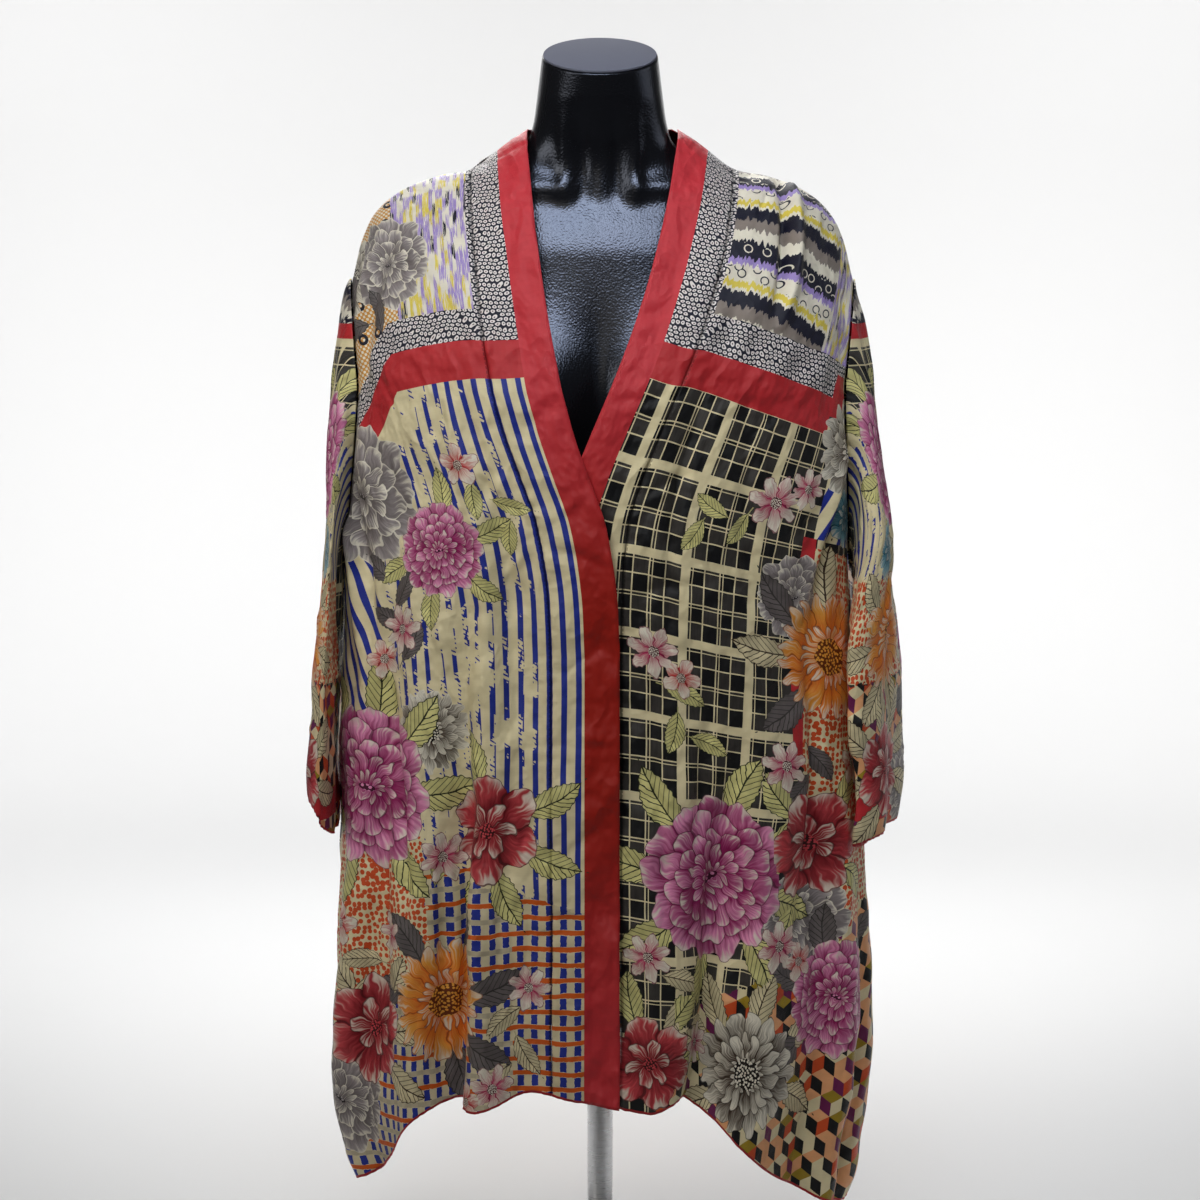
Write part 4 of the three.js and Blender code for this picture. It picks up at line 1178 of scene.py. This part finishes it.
# ---- the print of each piece: where its flowers and leaves are ----
# A flower is a kind with its s, t, radius and turn. A wreath is a bloom by its place in the list,
# the turns of its leaves, their length and kind. A spray is an s, t, turn, length, count and kind.
prints = {
    "right_front": {
        "bloom": (
            ("dahlia", 218, 590, 82, 20), ("marigold", 132, 806, 62, 0), ("poppy", 62, 640, 54, 30),
            ("poppy", 244, 838, 54, 80), ("dahlia", 96, 372, 44, 50),
        ),
        "bud": (
            ("plumBlossom", 52, 300, 20, 10), ("cosmos", 150, 440, 25, 0),
            ("plumBlossom", 178, 466, 20, 30), ("cosmos", 130, 664, 26, 40),
            ("cosmos", 206, 738, 24, 20), ("plumBlossom", 276, 730, 24, 0), ("cosmos", 60, 886, 24, 66),
            ("plumBlossom", 88, 900, 20, 20), ("cornflower", 236, 286, 26, 0),
            ("cosmos", 22, 792, 22, 0),
        ),
        "ghost": (
            ("shadowAster", 176, 308, 70, 15), ("aster", 160, 96, 50, 0),
            ("shadowAster", 92, 100, 50, 30), ("aster", 128, 540, 40, 10),
            ("shadowAster", 288, 906, 56, 0),
        ),
        "wreaths": (
            (0, (172, 214, 250, 292, 332, 20, 62, 118), 72, "spring"),
            (1, (100, 142, 190, 240, 300, 350), 66, "winter"),
            (2, (60, 104, 150, 200, 280), 60, "spring"), (3, (140, 185, 225, 300), 66, "dry"),
            (4, (130, 190, 250, 10, 70), 44, "spring"),
        ),
        "sprays": (
            (150, 470, -84, 42, 4, "winter"), (140, 690, -60, 42, 3, "spring"),
            (230, 770, 40, 46, 3, "dry"), (44, 316, 120, 34, 3, "spring"),
            (104, 166, -30, 48, 3, "winter"), (30, 810, 80, 44, 3, "dry"),
        ),
    },
    "left_front": {
        "bloom": (
            ("dahlia", 102, 682, 82, 0), ("marigold", 220, 446, 66, 30), ("poppy", 214, 640, 58, 50),
            ("aster", 158, 868, 60, 10), ("dahlia", 268, 800, 60, 70), ("poppy", 28, 862, 46, 15),
        ),
        "bud": (
            ("cosmos", 132, 306, 27, 0), ("cosmos", 162, 286, 21, 24), ("cosmos", 30, 470, 25, 10),
            ("plumBlossom", 56, 490, 20, 40), ("cosmos", 166, 560, 26, 5),
            ("plumBlossom", 262, 556, 25, 20), ("cosmos", 188, 742, 27, 33),
            ("plumBlossom", 216, 760, 21, 0), ("cosmos", 26, 760, 24, 0),
            ("cornflower", 236, 300, 30, 10), ("cosmos", 88, 846, 22, 48),
        ),
        "ghost": (
            ("aster", 214, 236, 52, 0), ("shadowAster", 172, 392, 44, 20),
            ("shadowAster", 210, 720, 60, 0), ("aster", 216, 84, 40, 0),
        ),
        "wreaths": (
            (0, (10, 48, 96, 140, 184, 226, 282, 326), 72, "spring"),
            (1, (130, 214, 320), 66, "winter"), (1, (176, 262, 20), 66, "dry"),
            (2, (30, 100, 150, 220, 300), 62, "spring"), (3, (150, 196, 236, 280, 330, 20), 62, "dry"),
            (4, (140, 200, 250, 300), 58, "winter"), (5, (250, 300, 350, 200), 56, "spring"),
        ),
        "sprays": (
            (110, 322, 160, 36, 3, "spring"), (196, 540, 90, 44, 4, "winter"),
            (40, 500, 60, 42, 3, "spring"), (40, 776, 60, 46, 3, "dry"), (200, 190, -60, 46, 3, "dry"),
        ),
    },
    "back": {
        "bloom": (
            ("dahlia", -96, 470, 82, 0), ("dahlia", 128, 690, 82, 40), ("marigold", 66, 404, 62, 0),
            ("poppy", -160, 700, 56, 20), ("poppy", 214, 480, 54, 60), ("marigold", -50, 800, 62, 10),
            ("dahlia", -250, 420, 64, 30), ("poppy", 40, 640, 50, 0),
        ),
        "bud": (
            ("cosmos", 4, 560, 26, 0), ("plumBlossom", 34, 540, 21, 20), ("cosmos", -200, 570, 26, 0),
            ("plumBlossom", -30, 320, 22, 0), ("cosmos", 206, 594, 24, 0),
            ("plumBlossom", -180, 330, 22, 30), ("cosmos", 150, 320, 25, 0),
            ("cosmos", -110, 620, 22, 40), ("plumBlossom", 220, 780, 24, 0),
            ("cornflower", 20, 150, 30, 0),
        ),
        "ghost": (
            ("shadowAster", -150, 120, 84, 0), ("aster", 160, 130, 66, 0),
            ("shadowAster", 150, 540, 60, 0), ("aster", -30, 690, 50, 0),
        ),
        "allRound": (20, 62, 110, 155, 205, 250, 296, 335), "leaf": 66,
        "kinds": ("spring", "spring", "winter", "dry", "spring", "winter", "dry", "spring"),
    },
    "right_sleeve": {
        "bloom": (
            ("dahlia", 66, 300, 68, 10), ("poppy", 40, 450, 52, 40), ("dahlia", -84, 190, 64, 0),
            ("marigold", -72, 350, 58, 0), ("poppy", -76, 480, 46, 30),
        ),
        "bud": (
            ("cornflower", 70, 166, 32, 0), ("cosmos", 16, 214, 26, 0), ("plumBlossom", 90, 400, 24, 0),
            ("cosmos", 20, 110, 24, 30), ("cosmos", -40, 270, 25, 0), ("cornflower", -110, 270, 28, 30),
        ),
        "ghost": (
            ("aster", 0, 250, 46, 0), ("shadowAster", 0, 500, 50, 0),
        ),
        "allRound": (20, 70, 115, 160, 210, 255, 300, 340), "leaf": 58,
        "kinds": ("spring", "winter", "spring", "dry", "dry"),
    },
    "left_sleeve": {
        "bloom": (
            ("poppy", 56, 196, 54, 20), ("dahlia", 62, 396, 68, 0), ("dahlia", -84, 190, 64, 0),
            ("marigold", -72, 350, 58, 0), ("poppy", -76, 480, 46, 30),
        ),
        "bud": (
            ("cornflower", 66, 296, 32, 0), ("cosmos", 20, 320, 26, 0), ("plumBlossom", 92, 484, 24, 0),
            ("cornflower", 30, 118, 30, 30), ("cosmos", -40, 270, 25, 0),
            ("cornflower", -110, 270, 28, 30),
        ),
        "ghost": (
            ("aster", 0, 250, 46, 0), ("shadowAster", 0, 500, 50, 0),
        ),
        "allRound": (20, 70, 115, 160, 210, 255, 300, 340), "leaf": 58,
        "kinds": ("spring", "winter", "spring", "dry", "dry"),
    },
}


def layersOf(name):
    look = prints[name]
    layers = {key: table("kind s t radius turn", *look[key]) for key in ("ghost", "bloom", "bud")}
    wreaths = look.get("wreaths") or [
        (index, look["allRound"], look["leaf"], kind) for index, kind in enumerate(look["kinds"])
    ]
    layers["leaf"] = []
    for index, *rest in wreaths:
        layers["leaf"] += wreath(layers["bloom"][index], *rest)
    for row in look.get("sprays", ()):
        layers["leaf"] += spray(*row)
    return layers


# ---- the garment's pieces ----
fine = {
    "front": {"across": 120, "down": 240},
    "band": {"across": 18, "down": 240},
    "sleeve": {"across": 150, "down": 130},
    "back": {"across": 190, "down": 200},
    "neck": {"across": 90, "down": 18},
}
seeds = {
    "right_front": 11, "left_front": 23, "back": 37, "right_sleeve": 41, "left_sleeve": 53, "neck": 67,
}
# where the left front lies flat, pushed in under the right band
tucked = {"near": (-11, 5), "levels": (800, 845), "in": -5}
# the relief of a band, fuller near the foot of the V than above it
fullness = {"shares": (1.1, 0.75), "levels": (680, 820), "from": (0, 20)}
# how far the print falls away from level, and the heights at which t is 0
slant = {"front": (0.05, 0.33), "foot": 300, "height": 580, "back": 0.08}
printTop, sleeveTop = 1118, 1000


# lays the relief on the points and makes the finished piece of cloth
def makeCloth(name, points, s, t, fromHem, relief, material, layers, joined=False):
    points = points + outwardSides(points, joined) * relief[..., None]
    mesh, cornerS, cornerT = clothMesh(name, points, s, t, fromHem, joined)
    mesh.materials.append(material)
    piece = newPiece(name + "_cloth", mesh)
    wall = piece.modifiers.new("wall", "SOLIDIFY")
    wall.thickness, wall.offset, wall.use_even_offset = cloth["thickness"] / 1000, -1, False
    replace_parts(piece, name)
    for layer, motifs in layers.items():
        placeMotifs(mesh, layer, cornerS, cornerT, motifs)
    print(name, len(mesh.polygons), "faces")


# how much the level lines of a front's print fall for each millimetre across
def droop(z):
    return mix(*slant["front"], np.clip((z - slant["foot"]) / slant["height"], 0, 1))


# kind is panel or band; across always runs towards the wearer's left, so faces point outwards
def makeFront(wearer, kind, material, layers):
    front = f"{wearer}_front"
    turned, isBand = wearer == "right", kind == "band"
    steps = fine["band" if isBand else "front"]
    start = frontLine(wearer, 0 if isBand else bandWidth)
    end = frontLine(wearer, bandWidth - 0.02) if isBand else sideLine(wearer)
    points = sample(lambda a, d: frontPoint(wearer, start, end, 1 - a if turned else a, d), steps)
    s = arcAcross(points[:, ::-1] if turned else points)
    s = s - s[:, -1:] if isBand else s
    s = s[:, ::-1] if turned else s
    z = points[..., 2]
    level = garment["levelReach"][wearer] * np.sign(s)
    along = s - level * (1 - np.exp(-s / np.where(s == 0, 1, level)))
    t = climbAboveChest(points, printTop - z - droop(z) * along, steps["down"])
    fromHem = z - z[-1:]
    name = front + "_band" if isBand else front
    relief = clothRelief(name, s, t, fromHem, seeds[front], fromSeam=s)
    if wearer == "left":
        past = points[..., 0] - lookUp(edgeLines["right"], "z", "x", z)
        under = (1 - easeBetween(*tucked["near"], past)) * (1 - easeBetween(*tucked["levels"], z))
        relief = mix(relief, tucked["in"], under)
    shoulder = t - t[:1]
    if isBand:
        share = mix(*fullness["shares"], easeBetween(*fullness["levels"], z))
        relief = mix(1, share, easeBetween(*fullness["from"], -s)) * calmEdges(relief, shoulder)
    else:
        relief = calmEdges(relief, shoulder, s - s.max(axis=1, keepdims=True))
    makeCloth(name, points, s, t, fromHem, relief, material, layers)


def makeFronts():
    for wearer, ground in (("right", rightFrontGround), ("left", leftFrontGround)):
        material = silkMaterial(f"{wearer}FrontSilk", ground)
        for kind in ("panel", "band"):
            makeFront(wearer, kind, material, layersOf(f"{wearer}_front"))


def makeBack():
    points = sample(lambda a, d: backPoint(1 - 2 * a, d, bandWidth), fine["back"])
    arc = arcAcross(points)
    s = arc - arc[:, -1:] / 2
    z = points[..., 2]
    t = climbAboveChest(points, printTop - z - slant["back"] * np.abs(s), fine["back"]["down"])
    fromHem = z - z[-1:]
    relief = clothRelief("back", s, t, fromHem, seeds["back"])
    relief = calmEdges(relief, t - t[:1], s.max(axis=1, keepdims=True) - np.abs(s))
    material = silkMaterial("backSilk", backGround)
    makeCloth("back", points, s, t, fromHem, relief, material, layersOf("back"))


def makeSleeve(name, wearer, flip):
    points = sample(lambda a, d: sleevePoint(wearer, flip * (2 * a - 1), d), fine["sleeve"])
    arc = arcAcross(points)
    s = flip * (arc - arc[:, -1:] / 2)
    t = sleeveTop - points[..., 2]
    fromHem = points[..., 2] - points[-1:, :, 2]
    # puckers as faint as they are this far from a seam
    relief = clothRelief(name, s, t, fromHem, seeds[name], fromSeam=np.full_like(t, 60))
    relief = calmEdges(relief, t - t[:1])
    relief[:, 0] = relief[:, -1] = (relief[:, 0] + relief[:, -1]) / 2
    material = silkMaterial(f"{wearer}SleeveSilk", sleeveGround)
    makeCloth(name, points, s, t, fromHem, relief, material, layersOf(name), joined=True)


def makeNeckBand():
    points = sample(lambda a, d: neckBandPoint(1 - 2 * a, d), fine["neck"])
    down = np.linspace(0, 1, fine["neck"]["down"] + 1)[:, None]
    t = arcAcross(points)
    s = -bandWidth * (1 - down) + 0 * t
    fromHem = 99 + 0 * t
    relief = 0.5 * unevenWaves(s, t, seeds["neck"], 30, 90)
    material = silkMaterial("neckBandSilk", neckGround, printed=False)
    makeCloth("neck_band", points, s, t, fromHem, relief, material, {})


makeFronts()
makeBack()
makeSleeve("right_sleeve", "right", 1)
makeSleeve("left_sleeve", "left", -1)
makeNeckBand()
print("garment made")


# ---- the dress form ----
formSections = table(
    "z half front back",
    (330, 150, 84, 92), (420, 172, 92, 108), (500, 178, 94, 112), (590, 160, 88, 92),
    (680, 128, 84, 76), (770, 138, 88, 82), (860, 154, 92, 90), (940, 176, 84, 84), (1000, 190, 70, 72),
    (1025, 188, 60.5, 62), (1048, 170, 50.5, 56), (1064, 146, 46.8, 50), (1078, 112, 44, 46),
    (1090, 88, 43, 46), (1104, 70, 44, 45), (1120, 63, 48, 45), (1145, 59, 53, 47),
)
form = {
    "topHalf": 54, "topY": -4, "topZ": 1184, "tilt": 20, "power": 0.92,
    "bustX": 80, "bustZ": 862, "bustWidth": 66, "bustHeight": 66, "swell": 45,
    "sides": 160, "levels": 150, "topLevels": 14, "foot": 330, "shoulders": 1145, "footRound": 7,
}
collar = {
    "z": 1060, "rise": 0.07, "height": 2.8, "width": 8, "inner": (20, 40), "outer": (70, 120),
    "hollow": 0.7, "hollowAbove": 17, "hollowWidth": 12,
    "neckFoot": (1040, 1062), "neckTop": (1095, 1150),
    "tendonX": 30, "tendonLean": 0.04, "tendonHeight": 4.5, "tendonWidth": 6.5,
    "valley": 4.2, "valleyX": 17, "valleyWidth": 6.5,
}


def formRing(turn, z):
    at = lambda column: lookUp(formSections, "z", column, z)
    s, c = np.sin(turn), np.cos(turn)
    x = at("half") * np.sign(s) * np.abs(s) ** form["power"]
    depth = np.where(c > 0, at("front"), at("back"))
    right, left = [bell((x - side * form["bustX"]) / form["bustWidth"]) for side in (-1, 1)]
    level = bell((z - form["bustZ"]) / form["bustHeight"])
    swell = np.where(c > 0, form["swell"] * c * level * np.maximum(right, left), 0)
    return stack(x, -depth * np.sign(c) * np.abs(c) ** form["power"] - swell, z)


# soft collarbones, the hollow over them and the two cords of the neck
def collarRelief(points, front):
    x, z = np.abs(points[..., 0]), points[..., 2]
    bone = collar["z"] + collar["rise"] * x
    span = easeBetween(*collar["inner"], x) * (1 - easeBetween(*collar["outer"], x))
    hollow = bell((z - bone - collar["hollowAbove"]) / collar["hollowWidth"])
    relief = collar["height"] * span * (bell((z - bone) / collar["width"]) - collar["hollow"] * hollow)
    cord = collar["tendonX"] + collar["tendonLean"] * (z - collar["z"])
    length = easeBetween(*collar["neckFoot"], z) * (1 - easeBetween(*collar["neckTop"], z))
    relief += collar["tendonHeight"] * length * bell((x - cord) / collar["tendonWidth"])
    relief -= collar["valley"] * length * bell((x - collar["valleyX"]) / collar["valleyWidth"])
    return relief * front


def formPoint(around, down):
    turn = np.radians(around * 360)
    share = form["topLevels"] / (form["topLevels"] + form["levels"])
    body = mix(form["shoulders"], form["foot"], np.clip((down - share) / (1 - share), 0, 1))
    ring = formRing(turn, body)
    s, c = np.sin(np.radians(form["tilt"])), np.cos(np.radians(form["tilt"]))
    back = -form["topHalf"] * np.cos(turn)
    top = stack(form["topHalf"] * np.sin(turn), form["topY"] + back * c, form["topZ"] + back * s)
    points = mix(top, ring, np.clip(down / share, 0, 1)[..., None])
    front = easeBetween(0.1, 0.75, np.cos(turn))
    points = points + unit(points * [1, 1, 0]) * collarRelief(points, front)[..., None]
    rim = np.clip(1 - (points[..., 2] - form["foot"]) / form["footRound"], 0, 1)
    tuck = form["footRound"] * (1 - np.sqrt(1 - rim**2))
    return points - unit(points * [1, 1, 0]) * tuck[..., None]


# noise mixes the two colours and roughens a little; bump is the depth and strength of the relief
finishes = {
    "glossBlack": {
        "dark": (0.003, 0.003, 0.004), "pale": (0.006, 0.006, 0.007), "rough": (0.18, 0.08),
        "noise": (9.0, 2.0), "relief": (560.0, 0.0), "bump": (0.00023, 0.8),
        "fixed": {"Specular IOR Level": 0.5, "Specular Tint": (0.68, 0.76, 1, 1)},
    },
    "satinGrey": {
        "dark": (0.135, 0.141, 0.186), "pale": (0.15, 0.157, 0.204), "rough": (0.75, 0.1),
        "noise": (40.0, 2.0), "relief": (900.0, 1.0), "bump": (0.00005, 0.5),
        "fixed": {"Specular IOR Level": 0.1},
    },
    "satinSteel": {
        "dark": (0.6, 0.6, 0.61), "pale": (0.74, 0.74, 0.75), "rough": (0.22, 0.14),
        "noise": (1.0, 2.0), "brush": (30, 30, 900), "bump": (0.0001, 0.3), "fixed": {"Metallic": 1.0},
    },
}


def hardFinish(name):
    look = finishes[name]
    material, shader = startMaterial(name)
    place = Wire(addNode("ShaderNodeTexCoord").outputs["Object"])
    if "brush" in look:
        place = pair(*[part * share for part, share in zip(threeOf(place), look["brush"])])
    noise = cloudy(place, *look["noise"], "3D")
    feed(shader.inputs["Base Color"], paint(noise, look["dark"], look["pale"]))
    feed(shader.inputs["Roughness"], noise * look["rough"][1] + look["rough"][0])
    for socket, value in look["fixed"].items():
        shader.inputs[socket].default_value = value
    bump(shader, cloudy(place, *look["relief"], "3D") if "relief" in look else noise, *look["bump"])
    return material


def makeForm():
    across, down = form["sides"], form["levels"] + form["topLevels"]
    points = sample(formPoint, {"across": across, "down": down})
    bm = bmesh.new()
    bmesh.ops.create_grid(bm, x_segments=across, y_segments=down, size=0.5)
    for vert in bm.verts:
        column, row = round((vert.co.x + 0.5) * across) % across, round((0.5 - vert.co.y) * down)
        vert.co = points[row, column] / 1000
    bmesh.ops.remove_doubles(bm, verts=bm.verts, dist=1e-7)
    rims = [e for e in bm.edges if e.is_boundary]
    for upper in (True, False):
        rim = [e for e in rims if (e.verts[0].co.z > 0.9) == upper]
        bmesh.ops.contextual_create(bm, geom=rim)
    bmesh.ops.recalc_face_normals(bm, faces=bm.faces)
    mesh = meshFrom(bm, "form")
    mesh.materials.append(hardFinish("glossBlack"))
    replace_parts(newPiece("form_body", mesh), "dress_form")


def finishHard(bm, name, material, node):
    bmesh.ops.recalc_face_normals(bm, faces=bm.faces)
    mesh = meshFrom(bm, name)
    mesh.set_sharp_from_angle(angle=np.radians(35))
    mesh.materials.append(material)
    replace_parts(newPiece(name, mesh), node)


def bevelEdges(bm, edges, offset):
    bmesh.ops.bevel(bm, geom=edges, offset=offset, affect="EDGES", segments=3, profile=0.5, material=-1)


cap = {"thickness": 0.0025, "soften": 0.0008}
roundSides = 96


def makeCap():
    low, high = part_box("neck_cap")
    radius = (high.x - low.x) / 2
    bm = bmesh.new()
    bmesh.ops.create_cone(
        bm, cap_ends=True, segments=roundSides, radius1=radius, radius2=radius, depth=cap["thickness"]
    )
    edges = [e for e in bm.edges if abs(e.verts[0].co.z - e.verts[1].co.z) < 1e-6]
    bevelEdges(bm, edges, cap["soften"])
    c, s = heading(form["tilt"])
    for vert in bm.verts:
        y, z = vert.co.y, vert.co.z
        vert.co.y = y * c - z * s + (low.y + high.y) / 2
        vert.co.z = y * s + z * c + (low.z + high.z) / 2
    finishHard(bm, "cap_disc", hardFinish("satinGrey"), "neck_cap")


# a turned piece with softened corners, from its profile of (radius, height) in millimetres
def turnedPiece(profile, soften, closed=False):
    bm = bmesh.new()
    line = [bm.verts.new((radius / 1000, 0, height / 1000)) for radius, height in profile]
    edges = [bm.edges.new(ends) for ends in zip(line, line[1:] + ([line[0]] if closed else []))]
    bmesh.ops.spin(
        bm, geom=line + edges, cent=(0, 0, 0), axis=(0, 0, 1), dvec=(0, 0, 0), angle=2 * np.pi,
        steps=roundSides, use_merge=True,
    )
    bmesh.ops.remove_doubles(bm, verts=bm.verts, dist=1e-7)
    bmesh.ops.recalc_face_normals(bm, faces=bm.faces)
    level = lambda e: abs(e.verts[0].co.z - e.verts[1].co.z) < 1e-7
    rings = [e for e in bm.edges if len(e.link_faces) == 2 and e.calc_face_angle() > 0.6 and level(e)]
    bevelEdges(bm, rings, soften / 1000)
    return bm


stand = {"plateSoften": 1.8, "poleSoften": 0.8, "socketSoften": 1.2, "play": 0.3, "taper": 4}


# the radius, foot and top of a node
def spanOf(node):
    low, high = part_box(node)
    return 1000 * high.x, 1000 * low.z, 1000 * high.z


def makeStand():
    steel = hardFinish("satinSteel")
    radius, low, high = spanOf("stand_base")
    plate = turnedPiece([(0, low), (radius, low), (radius, high), (0, high)], stand["plateSoften"])
    finishHard(plate, "base_plate", steel, "stand_base")
    radius, low, high = spanOf("stand_pole")
    pole = turnedPiece([(0, low), (radius, low), (radius, high), (0, high)], stand["poleSoften"])
    finishHard(pole, "pole_tube", steel, "stand_pole")
    inner = radius + stand["play"]
    radius, low, high = spanOf("stand_socket")
    profile = [(inner, low), (radius, low), (radius - stand["taper"], high), (inner, high)]
    ring = turnedPiece(profile, stand["socketSoften"], closed=True)
    finishHard(ring, "pole_socket", steel, "stand_socket")


makeForm()
makeCap()
makeStand()
print("form and stand made")
